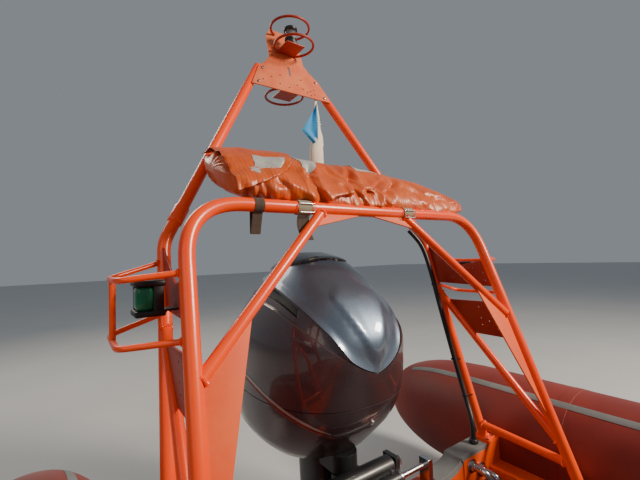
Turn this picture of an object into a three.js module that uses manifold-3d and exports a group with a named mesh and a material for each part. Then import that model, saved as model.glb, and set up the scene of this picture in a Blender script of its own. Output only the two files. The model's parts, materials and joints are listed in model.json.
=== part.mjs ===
// A rescue RIB afloat, in millimetres: +X to starboard, +Y to the bow, +Z up.
// The origin is on the waterline amidships.
import * as THREE from "three";
import { mergeVertices } from "three/addons/utils/BufferGeometryUtils.js";
import Module from "manifold-3d";

const wasm = await Module();
wasm.setup();

// Driving sizes
const GAP = 0.3; // clearance between touching pieces
const TRANSOM_Y = -2700; // aft face of the transom, where the outboard hangs
const TRANSOM_THICK = 75;
const TRANSOM_TOP = 470; // top of the transom beside the engine's cutout
const CUTOUT_TOP = 430;
const CUTOUT_HALF = 280;
const DECK_Z = 130;
const BULWARK_TOP = 370;
const COCKPIT_HALF = 655;
const TUBE_X = 1020; // buoyancy tube: distance from the centreline, height and radius
const TUBE_Z = 400;
const TUBE_R = 280;
const BOW_START = 1450;
const BOW_REACH = 1980;
const BOW_RISE = 240;
const FOREDECK_Z = 430;
const PIPE = 42.4; // welded frame's main pipe and its bracing pipe
const BRACE = 34;
const PLATE = 6;
const TILT_Y = TRANSOM_Y - 40; // tilt tube
const TILT_Z = 500;
const STEER_Y = TRANSOM_Y - 150; // kingpin
const PROP_Z = -430;

const COLOURS = {
  orange: [0xe8501c, 0.45, 0.0],
  collar: [0xa82a16, 0.7, 0.0],
  bag: [0xc85a36, 0.6, 0.0],
  grey: [0x6f7578, 0.8, 0.0],
  black: [0x17181a, 0.6, 0.0],
  cowl: [0x3c4046, 0.3, 0.4],
  metal: [0xb9bcc0, 0.3, 0.9],
  webbing: [0x8d7c68, 0.85, 0.0],
  cloth: [0xd9d6cf, 0.85, 0.0],
  clear: [0x9fb4bd, 0.1, 0.0],
};

const boat = new THREE.Group();
const V = (x, y, z) => new THREE.Vector3(x, y, z);

// A closed three.js geometry as a solid that can be cut and joined.
function solid(geometry, matrix = new THREE.Matrix4()) {
  let g = geometry.clone().applyMatrix4(matrix);
  g.deleteAttribute("normal");
  g.deleteAttribute("uv");
  g = mergeVertices(g, 1e-3);
  const vertProperties = new Float32Array(g.attributes.position.array);
  const triVerts = new Uint32Array(g.index.array);
  return new wasm.Manifold(new wasm.Mesh({ numProp: 3, vertProperties, triVerts }));
}

function join(...solids) {
  return solids.reduce((a, b) => a.add(b));
}

function piece(name, body, colour) {
  const { vertProperties, triVerts } = body.getMesh();
  const g = new THREE.BufferGeometry();
  g.setAttribute("position", new THREE.BufferAttribute(new Float32Array(vertProperties), 3));
  g.setIndex(Array.from(triVerts));
  g.computeVertexNormals();
  const [color, roughness, metalness] = COLOURS[colour];
  const mesh = new THREE.Mesh(g, new THREE.MeshStandardMaterial({ color, roughness, metalness }));
  mesh.name = name;
  boat.add(mesh);
}

function box(x0, x1, y0, y1, z0, z1) {
  const g = new THREE.BoxGeometry(x1 - x0, y1 - y0, z1 - z0);
  return solid(g, new THREE.Matrix4().makeTranslation((x0 + x1) / 2, (y0 + y1) / 2, (z0 + z1) / 2));
}

// A round bar from a to b.
function rod(a, b, diameter, sides = 12) {
  const along = b.clone().sub(a);
  const g = new THREE.CylinderGeometry(diameter / 2, diameter / 2, along.length(), sides);
  const turn = new THREE.Quaternion().setFromUnitVectors(V(0, 1, 0), along.normalize());
  const middle = a.clone().add(b).multiplyScalar(0.5);
  return solid(g, new THREE.Matrix4().compose(middle, turn, V(1, 1, 1)));
}

// A path whose rings stand exactly at the given points.
class Route extends THREE.Curve {
  constructor(points) {
    super();
    this.points = points;
  }
  getPointAt(u) {
    const s = u * (this.points.length - 1);
    const i = Math.min(Math.floor(s), this.points.length - 2);
    return this.points[i].clone().lerp(this.points[i + 1], s - i);
  }
  getTangentAt(u) {
    const i = Math.round(u * (this.points.length - 1));
    const before = this.points[Math.max(i - 1, 0)];
    const after = this.points[Math.min(i + 1, this.points.length - 1)];
    return after.clone().sub(before).normalize();
  }
}

// Straight runs between the corners, each corner an arc of the given bend radius.
function rounded(corners, bend, steps = 5) {
  const points = [corners[0]];
  for (let i = 1; i < corners.length - 1; i += 1) {
    const back = corners[i - 1].clone().sub(corners[i]).normalize();
    const on = corners[i + 1].clone().sub(corners[i]).normalize();
    const half = back.angleTo(on) / 2;
    const reach = bend / Math.tan(half);
    const curve = new THREE.QuadraticBezierCurve3(
      corners[i].clone().addScaledVector(back, reach),
      corners[i],
      corners[i].clone().addScaledVector(on, reach),
    );
    points.push(...curve.getPoints(steps));
  }
  points.push(corners.at(-1));
  return points;
}

// A bent pipe along a list of points.
function pipe(points, diameter, sides = 10) {
  const section = new THREE.Shape().absarc(0, 0, diameter / 2, 0, 2 * Math.PI);
  const options = { steps: points.length - 1, extrudePath: new Route(points), curveSegments: sides };
  return solid(new THREE.ExtrudeGeometry(section, options));
}

// A closed skin through rings of equally many points, each end closed by a fan.
function loft(rings) {
  const count = rings[0].length;
  const corners = rings.flat();
  const index = [];
  for (let r = 0; r < rings.length - 1; r += 1) {
    for (let i = 0; i < count; i += 1) {
      const a = r * count + i;
      const b = r * count + ((i + 1) % count);
      index.push(a, b, b + count, a, b + count, a + count);
    }
  }
  for (const [start, flip] of [[0, true], [(rings.length - 1) * count, false]]) {
    const centre = V(0, 0, 0);
    for (let i = 0; i < count; i += 1) centre.add(corners[start + i]);
    corners.push(centre.multiplyScalar(1 / count));
    for (let i = 0; i < count; i += 1) {
      const pair = [start + i, start + ((i + 1) % count)];
      if (flip) pair.reverse();
      index.push(pair[0], pair[1], corners.length - 1);
    }
  }
  let volume = 0;
  for (let i = 0; i < index.length; i += 3) {
    const [a, b, c] = [0, 1, 2].map((k) => corners[index[i + k]]);
    volume += a.dot(b.clone().cross(c));
  }
  if (volume < 0) index.reverse();
  const g = new THREE.BufferGeometry().setFromPoints(corners);
  g.setIndex(index);
  return solid(g);
}

// One ring of a rounded box: power 2 is an ellipse, more is squarer.
function roundedRing(centre, halfA, halfB, place, power = 2.6, count = 24) {
  const ring = [];
  for (let i = 0; i < count; i += 1) {
    const t = (2 * Math.PI * (i + 0.5)) / count;
    const a = halfA * Math.sign(Math.cos(t)) * Math.abs(Math.cos(t)) ** (2 / power);
    const b = halfB * Math.sign(Math.sin(t)) * Math.abs(Math.sin(t)) ** (2 / power);
    ring.push(centre.clone().add(place(a, b)));
  }
  return ring;
}
const flat = (a, b) => V(a, b, 0);

// A plate cut from an outline in the Y-Z plane, from x0 to x1.
function sidePlate(outline, x0, x1) {
  const shape = new THREE.Shape(outline.map(([y, z]) => new THREE.Vector2(y, z)));
  const g = new THREE.ExtrudeGeometry(shape, { depth: x1 - x0, bevelEnabled: false });
  const turn = new THREE.Matrix4().makeBasis(V(0, 1, 0), V(0, 0, 1), V(1, 0, 0));
  return solid(g, turn.premultiply(new THREE.Matrix4().makeTranslation(x0, 0, 0)));
}

// A plate cut from an outline of across and up, on a plane that leans back by the given slope.
function leaningPlate(outline, origin, up, thick) {
  const shape = new THREE.Shape(outline.map(([x, s]) => new THREE.Vector2(x, s)));
  const g = new THREE.ExtrudeGeometry(shape, { depth: thick, bevelEnabled: false, curveSegments: 6 });
  const across = V(1, 0, 0);
  const normal = across.clone().cross(up);
  return solid(g, new THREE.Matrix4().makeBasis(across, up, normal).setPosition(origin));
}

const SIDES = [["starboard", 1], ["port", -1]];
const mirrored = (p, side) => V(p.x * side, p.y, p.z);

// Buoyancy tube: a stern cone, a straight run and a bow that curves to the centreline.
// [from transom, radius]
const STERN_CONE = [[-780, 70], [-740, 140], [-630, 210], [-440, 262], [-200, TUBE_R]];
function collar(side, grow) {
  const stations = STERN_CONE.map(([y, r]) => [V(TUBE_X, TRANSOM_Y + y, TUBE_Z), V(0, 1, 0), r]);
  for (const y of [-1300, 0]) stations.push([V(TUBE_X, y, TUBE_Z), V(0, 1, 0), TUBE_R]);
  for (let i = 0; i <= 8; i += 1) {
    const t = (Math.PI / 2) * (i / 8);
    const rise = BOW_RISE * Math.sin(t) ** 2;
    const at = V(TUBE_X * Math.cos(t), BOW_START + BOW_REACH * Math.sin(t), TUBE_Z + rise);
    const along = V(-TUBE_X * Math.sin(t), BOW_REACH * Math.cos(t), 0).normalize();
    stations.push([at, along, TUBE_R - 20 * Math.sin(t)]);
  }
  const rings = stations.map(([at, along, r]) => {
    const out = V(along.y, -along.x, 0);
    return roundedRing(at, r + grow, r + grow, (a, b) => out.clone().multiplyScalar(a).setZ(b), 2, 20);
  });
  const whole = loft(rings.map((ring) => ring.map((p) => mirrored(p, side))));
  return whole.subtract(box(side > 0 ? -900 : -GAP / 2, side > 0 ? GAP / 2 : 900, 2500, 4500, -500, 1500));
}

// [y, keel z, chine x, chine z, side x, side z, top x, top z]
const HULL = [
  [TRANSOM_Y, -280, 690, -30, 800, 200, 770, TRANSOM_TOP],
  [TRANSOM_Y + TRANSOM_THICK, -280, 690, -30, 800, 200, 770, TRANSOM_TOP],
  [TRANSOM_Y + TRANSOM_THICK + 1, -280, 690, -30, 800, 200, 770, BULWARK_TOP],
  [800, -290, 680, -20, 800, 200, 770, BULWARK_TOP],
  [1500, -270, 610, 10, 780, 230, 770, BULWARK_TOP],
  [1900, -220, 510, 70, 690, 270, 730, FOREDECK_Z],
  [2700, -40, 300, 210, 420, 350, 560, FOREDECK_Z],
  [3250, 190, 110, 330, 170, 400, 230, FOREDECK_Z],
  [3400, 300, 20, 350, 30, 400, 40, FOREDECK_Z - 2],
];
function hull() {
  const rings = HULL.map(([y, keel, cx, cz, sx, sz, tx, tz]) => {
    const half = [[cx, cz], [cx + 30, cz + 12], [sx, sz], [tx, tz]];
    const other = half.map(([x, z]) => [-x, z]).reverse();
    return [[0, keel], ...half, ...other].map(([x, z]) => V(x, y, z));
  });
  const aft = TRANSOM_Y + TRANSOM_THICK;
  const plan = [[COCKPIT_HALF, aft], [COCKPIT_HALF, 1500], [560, 1950], [-560, 1950], [-COCKPIT_HALF, 1500]];
  const cockpit = new THREE.Shape([...plan, [-COCKPIT_HALF, aft]].map(([x, y]) => new THREE.Vector2(x, y)));
  const well = new THREE.ExtrudeGeometry(cockpit, { depth: 900, bevelEnabled: false });
  const cut = new THREE.Shape()
    .moveTo(-450, 600)
    .lineTo(-450, TRANSOM_TOP)
    .quadraticCurveTo(-430, CUTOUT_TOP, -CUTOUT_HALF, CUTOUT_TOP)
    .lineTo(CUTOUT_HALF, CUTOUT_TOP)
    .quadraticCurveTo(430, CUTOUT_TOP, 450, TRANSOM_TOP)
    .lineTo(450, 600);
  const notch = new THREE.ExtrudeGeometry(cut, { depth: 400, bevelEnabled: false, curveSegments: 6 });
  const stand = new THREE.Matrix4().makeBasis(V(1, 0, 0), V(0, 0, 1), V(0, -1, 0));
  return loft(rings)
    .subtract(solid(well, new THREE.Matrix4().makeTranslation(0, 0, DECK_Z)))
    .subtract(solid(notch, stand.setPosition(0, TRANSOM_Y + 200, 0)))
    .subtract(collar(1, GAP))
    .subtract(collar(-1, GAP));
}

for (const [name, side] of SIDES) piece(`collar_${name}`, collar(side, 0), "collar");
piece("hull", hull(), "orange");
piece("deck_panel", box(-640, 640, TRANSOM_Y + 90, 1480, DECK_Z + GAP, DECK_Z + 8), "grey");

// Welded frame over the engine, starboard points; it leans aft going up.
const HOOP_FOOT = V(702, TRANSOM_Y + 434, BULWARK_TOP + GAP);
const HOOP_TOP = V(648, TRANSOM_Y + 46, 1500);
const MAST_FOOT = V(691, TRANSOM_Y + 30, TRANSOM_TOP + GAP);
const SHOULDER = V(647, TRANSOM_Y - 226, 1403);
const APEX = V(211, TRANSOM_Y - 473, 2173);
const onLine = (a, b, z) => a.clone().lerp(b, (z - a.z) / (b.z - a.z));
const onHoop = (z) => onLine(HOOP_FOOT, HOOP_TOP, z);
const onMast = (z) => onLine(MAST_FOOT, SHOULDER, z);
const onUpper = (z) => onLine(SHOULDER, APEX, z);

function foot(at, side) {
  return box(at.x * side - 34, at.x * side + 34, at.y - 38, at.y + 38, at.z, at.z + 8);
}

function hoop(diameter) {
  const path = [1, 1, -1, -1].map((side, i) => mirrored(i % 3 ? HOOP_TOP : HOOP_FOOT, side));
  return pipe(rounded(path, 180, 6), diameter, 12);
}
const feet = SIDES.map(([, side]) => foot(HOOP_FOOT, side));
const below = box(-900, 900, TRANSOM_Y - 200, TRANSOM_Y + 700, 300, BULWARK_TOP + GAP);
piece("guard_hoop", join(hoop(PIPE), ...feet).subtract(below), "orange");

const hoopCut = hoop(PIPE + 2 * GAP);
const mastLegs = {};
function mastLeg(side, diameter) {
  const end = onUpper(2265);
  const path = rounded([MAST_FOOT, SHOULDER, end].map((p) => mirrored(p, side)), 160, 4);
  return pipe(path, diameter, 12);
}
const belowMast = box(-900, 900, TRANSOM_Y - 200, TRANSOM_Y + 300, 300, TRANSOM_TOP + GAP);
for (const [name, side] of SIDES) {
  mastLegs[name] = mastLeg(side, PIPE + 2 * GAP);
  piece(`mast_leg_${name}`, mastLeg(side, PIPE).add(foot(MAST_FOOT, side)).subtract(belowMast), "orange");
}

// Braces from the hoop's bar to its legs, each with a gusset at either end.
const hoopUp = HOOP_TOP.clone().sub(HOOP_FOOT).setX(0).normalize();
const drop = (z) => (z - HOOP_TOP.z) / hoopUp.z;
const BRACE_TOP_X = 186;
const BRACE_LOW_Z = 1048;
const UPPER_GUSSET = [[180, 1500], [40, 1500], [40, 1478], [232, 1437], [262, 1424]]; // [across, z]
const LOWER_GUSSET = [[500, 1203], [690, 600], [674, 1046]];
function hoopBrace(side, extra) {
  const top = V(BRACE_TOP_X * side, HOOP_TOP.y, HOOP_TOP.z);
  const thick = PLATE + extra;
  const facing = hoopUp.clone().cross(V(1, 0, 0));
  const plane = V(0, HOOP_TOP.y, HOOP_TOP.z).addScaledVector(facing, thick / 2);
  const gussets = [UPPER_GUSSET, LOWER_GUSSET].map((outline) =>
    leaningPlate(outline.map(([x, z]) => [x * side, drop(z)]), plane, hoopUp, thick),
  );
  return join(rod(top, mirrored(onHoop(BRACE_LOW_Z), side), BRACE + extra), ...gussets);
}
for (const [name, side] of SIDES) {
  piece(`hoop_brace_${name}`, hoopBrace(side, 0).subtract(hoopCut), "orange");
}

piece(
  "mast_crossbar",
  rod(mirrored(onUpper(1700), -1), onUpper(1700), BRACE).subtract(mastLegs.port).subtract(mastLegs.starboard),
  "orange",
);

// Side plates, the diagonal and foot rail between them, and the loops that guard the side lights.
const UPPER_PLATE = [[-212, 1392], [-30, 1275], [124, 1300], [170, 1178], [-165, 1190]]; // [from transom, z]
const LOWER_PLATE = [[-125, 1105], [198, 1108], [248, 955], [20, 957]];
const LOOP_OUT = 810;
const LOOP_WIRE = 16;
const span = (side, a, b) => (side > 0 ? [a, b] : [-b, -a]);
for (const [name, side] of SIDES) {
  const diagonal = (d) => rod(mirrored(onMast(1150), side), mirrored(onHoop(560), side), d);
  const trim = (body) => body.subtract(hoopCut).subtract(mastLegs[name]);
  const plate = (outline, x) => {
    const placed = outline.map(([y, z]) => [TRANSOM_Y + y, z]);
    return trim(sidePlate(placed, ...span(side, x, x + PLATE)));
  };
  piece(`side_plate_upper_${name}`, plate(UPPER_PLATE, 650), "orange");
  piece(`side_plate_lower_${name}`, plate(LOWER_PLATE, 664).subtract(diagonal(BRACE + 2 * GAP)), "orange");
  piece(`side_brace_${name}`, trim(diagonal(BRACE)), "orange");
  const footRail = rod(mirrored(onMast(530), side), mirrored(onHoop(500), side), BRACE);
  piece(`foot_rail_${name}`, trim(footRail), "orange");
  const loops = [1310, 1150].map((z) => {
    const out = [V(LOOP_OUT, TRANSOM_Y + 70, z - 15), V(LOOP_OUT, TRANSOM_Y - 150, z - 15)];
    const route = [onHoop(z), ...out, onMast(z + 30)].map((p) => mirrored(p, side));
    return pipe(rounded(route, 45, 3), LOOP_WIRE, 8);
  });
  const [linkX, linkY] = [LOOP_OUT * side, TRANSOM_Y - 40];
  const link = rod(V(linkX, linkY, 1295), V(linkX, linkY, 1135), LOOP_WIRE, 8);
  piece(`light_loop_${name}`, trim(join(...loops, link)), "orange");
  const arm = box(...span(side, 650 + PLATE + GAP, 700), TRANSOM_Y - 55, TRANSOM_Y + 5, 1205, 1211);
  const lamp = box(...span(side, 690, 765), TRANSOM_Y - 70, TRANSOM_Y + 20, 1195, 1290);
  piece(`side_light_${name}`, arm.add(lamp), "black");
}

// Apex plate on the forward side of the legs, with the lamps and their guard rings.
const lean = APEX.clone().sub(SHOULDER).setX(0).normalize();
const outward = V(0, lean.z, -lean.y); // out of the plate, forward and up
const onPlate = (x, s, off) => V(x, APEX.y, APEX.z).addScaledVector(lean, s).addScaledVector(outward, off);
const PLATE_OFF = PIPE / 2 + GAP;
const PLATE_FACE = PLATE_OFF + PLATE;
const APEX_HALF = [[222, -38], [170, 78], [122, 125], [98, 165], [94, 300], [66, 350]]; // [across, up]
const apexOutline = [...APEX_HALF, ...APEX_HALF.map(([x, s]) => [-x, s]).reverse()];
piece("apex_plate", leaningPlate(apexOutline, onPlate(0, 0, PLATE_FACE), lean, PLATE), "orange");

// Everything between two distances from the legs' plane, to trim the rings against the plate.
function slab(near, far) {
  const outline = [[-400, -400], [400, -400], [400, 700], [-400, 700]];
  return leaningPlate(outline, onPlate(0, 0, far), lean, far - near);
}
const RING_R = 95;
const RING_WIRE = 12;
function ring(centre) {
  const g = new THREE.TorusGeometry(RING_R, RING_WIRE / 2, 8, 24);
  return solid(g, new THREE.Matrix4().makeTranslation(centre.x, centre.y, centre.z));
}
const shelf = (at, y0, y1) => box(-50, 50, at.y + y0, at.y + y1, at.z - 3, at.z + 3);
const behind = slab(-600, PLATE_FACE + GAP);
const ringTop = onPlate(0, 318, PLATE_FACE).add(V(0, RING_R - 8, 0));
const shelfAt = onPlate(0, 205, PLATE_FACE);
const ringMid = shelfAt.clone().add(V(0, RING_R - 8, 0));
piece("lamp_ring_upper", ring(ringTop).subtract(behind), "orange");
piece("lamp_ring_lower", ring(ringMid).add(shelf(shelfAt, -10, 110)).subtract(behind), "orange");
const aftShelfAt = onPlate(0, -14, PLATE_OFF);
const ringAft = aftShelfAt.clone().add(V(0, 8 - RING_R, 0));
const aftRing = ring(ringAft).add(shelf(aftShelfAt, -120, 10)).subtract(slab(PLATE_OFF - GAP, 600));
piece("lamp_ring_aft", aftRing, "orange");

// [radius, up]
const LAMP_PROFILE = [[0, 0], [38, 0], [38, 16], [30, 20], [30, 82], [34, 86], [30, 106], [0, 106]];
function lamp(at, scale) {
  const profile = LAMP_PROFILE.map(([r, z]) => new THREE.Vector2(r, z * scale));
  const stand = new THREE.Matrix4().makeRotationX(Math.PI / 2);
  return solid(new THREE.LatheGeometry(profile, 16), stand.setPosition(at));
}
piece("all_round_light", lamp(shelfAt.clone().add(V(0, 58, 3 + GAP)), 1), "black");
piece("stern_light", lamp(aftShelfAt.clone().add(V(0, -62, 3 + GAP)), 0.75), "black");

// Righting bag, rolled over the hoop's bar up to the crossbar and strapped to the bar.
// [x, y from transom, z, half depth, half height]
const BAG = [
  [505, -165, 1655, 110, 34],
  [440, -150, 1640, 180, 62],
  [250, -140, 1632, 200, 68],
  [60, -140, 1626, 200, 64],
  [-150, -140, 1622, 198, 62],
  [-360, -130, 1610, 188, 56],
  [-560, -95, 1585, 150, 44],
  [-690, -60, 1562, 90, 26],
  [-735, -45, 1555, 40, 12],
];
const BAG_SLOPE = 0.42;
function bag(grow) {
  const rings = BAG.map(([x, y, z, hy, hz]) => {
    const lie = (a, b) => V(0, a, b - a * BAG_SLOPE);
    return roundedRing(V(x, TRANSOM_Y + y, z), hy + grow, hz + grow, lie, 2.4, 16);
  });
  return loft(rings);
}
const crossbar = rod(mirrored(onUpper(1700), -1), onUpper(1700), BRACE + 2 * GAP);
const legs = SIDES.map(([, side]) => mastLeg(side, PIPE + 2 * GAP));
piece("righting_bag", bag(0).subtract(hoopCut).subtract(join(crossbar, ...legs)), "bag");
const STRAPS = [["starboard", 270, 1], ["port", -215, -1]];
const STRAP_HALF = 25;
for (const [name, x, side] of STRAPS) {
  const at = V(x, HOOP_TOP.y, HOOP_TOP.z);
  const reach = V(STRAP_HALF, 0, 0);
  const band = rod(at.clone().sub(reach), at.clone().add(reach), PIPE + 9, 16);
  const cut = band.subtract(hoopCut).subtract(bag(GAP)).subtract(hoopBrace(side, 2 * GAP));
  piece(`bag_strap_${name}`, cut, "webbing");
}

// Conduit for the lamps' cables, down the inside of the port mast leg to the transom.
// [x, y from transom, z]
const CONDUIT = [
  [-548, -236, 1460],
  [-596, -200, 1380],
  [-612, -165, 1260],
  [-626, -120, 1050],
  [-640, -62, 800],
  [-636, -12, 640],
  [-610, 30, 560],
  [-600, 38, 460],
];
const conduitRoute = new THREE.CatmullRomCurve3(CONDUIT.map(([x, y, z]) => V(x, TRANSOM_Y + y, z)));
const underConduit = box(-700, -500, TRANSOM_Y - 100, TRANSOM_Y + 100, 400, TRANSOM_TOP + GAP);
const conduit = pipe(conduitRoute.getPoints(28), 22, 8);
piece("conduit", conduit.subtract(mastLegs.port).subtract(underConduit), "black");

// Small flag, furled and hanging from the apex plate's lower edge.
const FLAG_TOP = onPlate(-135, -26, PLATE_OFF - GAP - 1.6);
const FLAG = [[0, 4], [-60, 10], [-230, 28], [-400, 42], [-560, 50], [-600, 30]]; // [down, radius]
const flagRings = FLAG.map(([dz, r]) =>
  roundedRing(FLAG_TOP.clone().add(V(0, 0, dz)), r, r * 0.6, flat, 2, 12),
);
piece("ensign", loft(flagRings).subtract(slab(PLATE_OFF - GAP, 600)), "cloth");

// Deck fittings forward.
const onDeck = FOREDECK_Z + GAP;
piece("foredeck_hatch", box(-230, 230, 1990, 2380, onDeck, onDeck + 22), "grey");
const POST_Y = 2620;
const post = rod(V(0, POST_Y, onDeck), V(0, POST_Y, onDeck + 230), 76, 16);
const postArms = rod(V(-130, POST_Y, onDeck + 150), V(130, POST_Y, onDeck + 150), 30);
piece("bow_post", join(post, postArms, box(-75, 75, POST_Y - 75, POST_Y + 75, onDeck, onDeck + 8)), "metal");

// Console, screen and controls.
const FLOOR = DECK_Z + 8 + GAP;
// [z, y, half width, half length]
const CONSOLE = [[FLOOR, 560, 320, 300], [940, 560, 320, 295], [1060, 600, 300, 270], [1110, 640, 275, 235]];
function consoleShell(grow) {
  return loft(CONSOLE.map(([z, y, hx, hy]) => roundedRing(V(0, y, z), hx + grow, hy + grow, flat, 5, 24)));
}
const WHEEL_AT = V(0, 225, 985);
const WHEEL_AXIS = V(0, -Math.cos(0.5), Math.sin(0.5));
const alongColumn = (d) => WHEEL_AT.clone().addScaledVector(WHEEL_AXIS, d);
const HUB_HALF = 14;
const column = rod(alongColumn(-90), alongColumn(-HUB_HALF - GAP), 60, 16);
piece("console", consoleShell(0).add(column), "grey");
const SCREEN = [
  [-240, 560], [-203, 780], [203, 780], [240, 560], // outside, then back along the inside
  [232, 560], [197, 772], [-197, 772], [-232, 560],
];
const SCREEN_LEAN = 0.35;
const screenShape = new THREE.Shape(SCREEN.map(([x, y]) => new THREE.Vector2(x, y)));
const screenWall = new THREE.ExtrudeGeometry(screenShape, { depth: 280, bevelEnabled: false });
const shear = new THREE.Matrix4().makeShear(0, 0, 0, 0, 0, -SCREEN_LEAN);
piece("windscreen", solid(screenWall, shear.setPosition(0, 0, 1110 + GAP)), "clear");

const WHEEL_R = 170;
const face = new THREE.Quaternion().setFromUnitVectors(V(0, 0, 1), WHEEL_AXIS);
const rimShape = new THREE.TorusGeometry(WHEEL_R, 13, 10, 32);
const rim = solid(rimShape, new THREE.Matrix4().compose(WHEEL_AT, face, V(1, 1, 1)));
const spokes = [0, 1, 2].map((i) => {
  const angle = (2 * Math.PI * i) / 3;
  const end = V(Math.sin(angle), -Math.cos(angle), 0).multiplyScalar(WHEEL_R).applyQuaternion(face);
  return rod(WHEEL_AT, WHEEL_AT.clone().add(end), 16, 8);
});
const wheelHub = rod(alongColumn(-HUB_HALF), alongColumn(HUB_HALF), 70, 16);
piece("helm_wheel", join(rim, wheelHub, ...spokes), "black");
const throttleBox = box(290, 372, 430, 570, 850, 985).subtract(consoleShell(GAP));
const lever = rod(V(350, 500, 950), V(350, 450, 1100), 16, 8);
const knob = rod(V(325, 447, 1110), V(375, 447, 1110), 34);
piece("throttle", join(throttleBox, lever, knob), "black");

// Two seats astride the centreline: base, saddle and backrest.
const SEATS = [["helm", -200], ["crew", -1000]];
for (const [name, y] of SEATS) {
  const base = [[FLOOR, 175, 235], [300, 160, 215], [620, 165, 225]]; // [z, half width, half length]
  const baseRings = base.map(([z, hx, hy]) => roundedRing(V(0, y, z), hx, hy, flat, 4));
  piece(`${name}_seat_base`, loft(baseRings), "grey");
  const saddle = [[620 + GAP, 165, 235], [650, 185, 250], [730, 185, 248], [765, 150, 225]];
  const saddleRings = saddle.map(([z, hx, hy]) => roundedRing(V(0, y, z), hx, hy, flat, 4));
  piece(`${name}_seat_saddle`, loft(saddleRings), "black");
  // [z, y from the seat's middle, half width, half depth]
  const back = [[765 + GAP, -170, 130, 34], [820, -185, 180, 42], [1040, -205, 185, 42], [1085, -208, 160, 26]];
  const backRings = back.map(([z, dy, hx, hy]) => roundedRing(V(0, y + dy, z), hx, hy, flat, 4, 20));
  piece(`${name}_seat_backrest`, loft(backRings), "black");
}

// Outboard: the clamp bracket hooks over the transom and carries the tilt tube.
const aft = (y) => TRANSOM_Y + y;
const CLEAR = 5; // between pieces that move past each other
const PIN_CLEAR = 0.6; // round a pin, or between the faces it holds together
const CHEEK_IN = 150;
const CHEEK_OUT = 172;
const TUBE_ROD = 36;
const cheeks = SIDES.map(([, side]) => {
  const [x0, x1] = span(side, CHEEK_IN, CHEEK_OUT);
  return box(x0, x1, aft(-110), aft(-GAP), 100, 440).add(box(x0, x1, aft(-76), aft(-4), 400, 536));
});
const clampHook = box(-CHEEK_OUT, CHEEK_OUT, aft(-30), aft(TRANSOM_THICK + 20), CUTOUT_TOP + GAP, 452);
const clampLip = box(-CHEEK_OUT, CHEEK_OUT, aft(TRANSOM_THICK + GAP), aft(TRANSOM_THICK + 20), 300, 452);
const clampBack = box(-CHEEK_OUT, CHEEK_OUT, aft(-30), aft(-GAP), 90, 452);
const tiltTube = rod(V(-190, TILT_Y, TILT_Z), V(190, TILT_Y, TILT_Z), TUBE_ROD, 16);
piece("clamp_bracket", join(...cheeks, clampHook, clampLip, clampBack, tiltTube), "black");

// Swivel bracket: a barrel on the tilt tube and the kingpin's housing.
const barrelHalf = CHEEK_IN - CLEAR;
const barrel = rod(V(-barrelHalf, TILT_Y, TILT_Z), V(barrelHalf, TILT_Y, TILT_Z), 76, 20);
const bore = rod(V(-200, TILT_Y, TILT_Z), V(200, TILT_Y, TILT_Z), TUBE_ROD + 2 * PIN_CLEAR, 20);
const HOUSING = [100, 490]; // bottom and top
const housing = rod(V(0, STEER_Y, HOUSING[0]), V(0, STEER_Y, HOUSING[1]), 90, 20);
const neck = box(-60, 60, aft(-150), aft(-62), 450, 488);
const rib = box(-20, 20, aft(-150), aft(-80), 150, 470);
piece("swivel_bracket", join(barrel, housing, neck, rib).subtract(bore), "black");

// Steering cylinder on a rod that stands on the transom's cutout.
const RAM_Y = aft(45);
const RAM_Z = 500;
const ramRod = rod(V(-280, RAM_Y, RAM_Z), V(280, RAM_Y, RAM_Z), 22);
const stands = SIDES.map(([, side]) => box(...span(side, 254, 278), aft(22), aft(70), CUTOUT_TOP + GAP, 524));
piece("steering_rod", join(ramRod, ...stands), "metal");
const ramBody = rod(V(-110, RAM_Y, RAM_Z), V(110, RAM_Y, RAM_Z), 52, 16);
const ramBore = rod(V(-120, RAM_Y, RAM_Z), V(120, RAM_Y, RAM_Z), 22 + 4 * GAP, 16);
piece("steering_cylinder", ramBody.subtract(ramBore), "metal");

// The steered leg, with an arm above and below the housing.
// [z, y from transom, half width, half length]
const LEG = [
  [-150, -350, 58, 150],
  [0, -330, 60, 130],
  [200, -320, 65, 108],
  [450, -320, 75, 108],
  [559, -330, 90, 118],
];
const COWL_BOTTOM = 560;
const legRings = LEG.map(([z, y, hx, hy]) => roundedRing(V(0, aft(y), z), hx, hy, flat, 2.6, 20));
const yoke = (z0, z1) =>
  join(rod(V(0, STEER_Y, z0), V(0, STEER_Y, z1), 116, 20), box(-58, 58, aft(-300), STEER_Y, z0, z1));
const arms = [
  yoke(HOUSING[0] - 62, HOUSING[0] - PIN_CLEAR),
  yoke(HOUSING[1] + PIN_CLEAR, COWL_BOTTOM - GAP),
];
piece("engine_leg", join(loft(legRings), ...arms), "black");

// [z, front, rear, half width]
const COWL = [
  [560, -130, -630, 215],
  [620, -75, -715, 275],
  [700, 0, -765, 300],
  [800, 55, -790, 312],
  [950, 80, -785, 312],
  [1050, 68, -758, 297],
  [1180, -15, -644, 233],
  [1270, -125, -534, 184],
  [1330, -225, -452, 127],
  [1360, -315, -384, 62],
];
const COWL_SPLIT = 3; // the ring where the upper cowl sits on the lower one
const cowlRings = COWL.map(([z, front, rear, hx]) =>
  roundedRing(V(0, aft((front + rear) / 2), z), hx, (front - rear) / 2, flat, 2.5, 32),
);
const seat = cowlRings[COWL_SPLIT].map((p) => p.clone().setZ(p.z - GAP));
piece("cowl_lower", loft([...cowlRings.slice(0, COWL_SPLIT), seat]), "black");
piece("cowl_upper", loft(cowlRings.slice(COWL_SPLIT)), "cowl");

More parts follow.
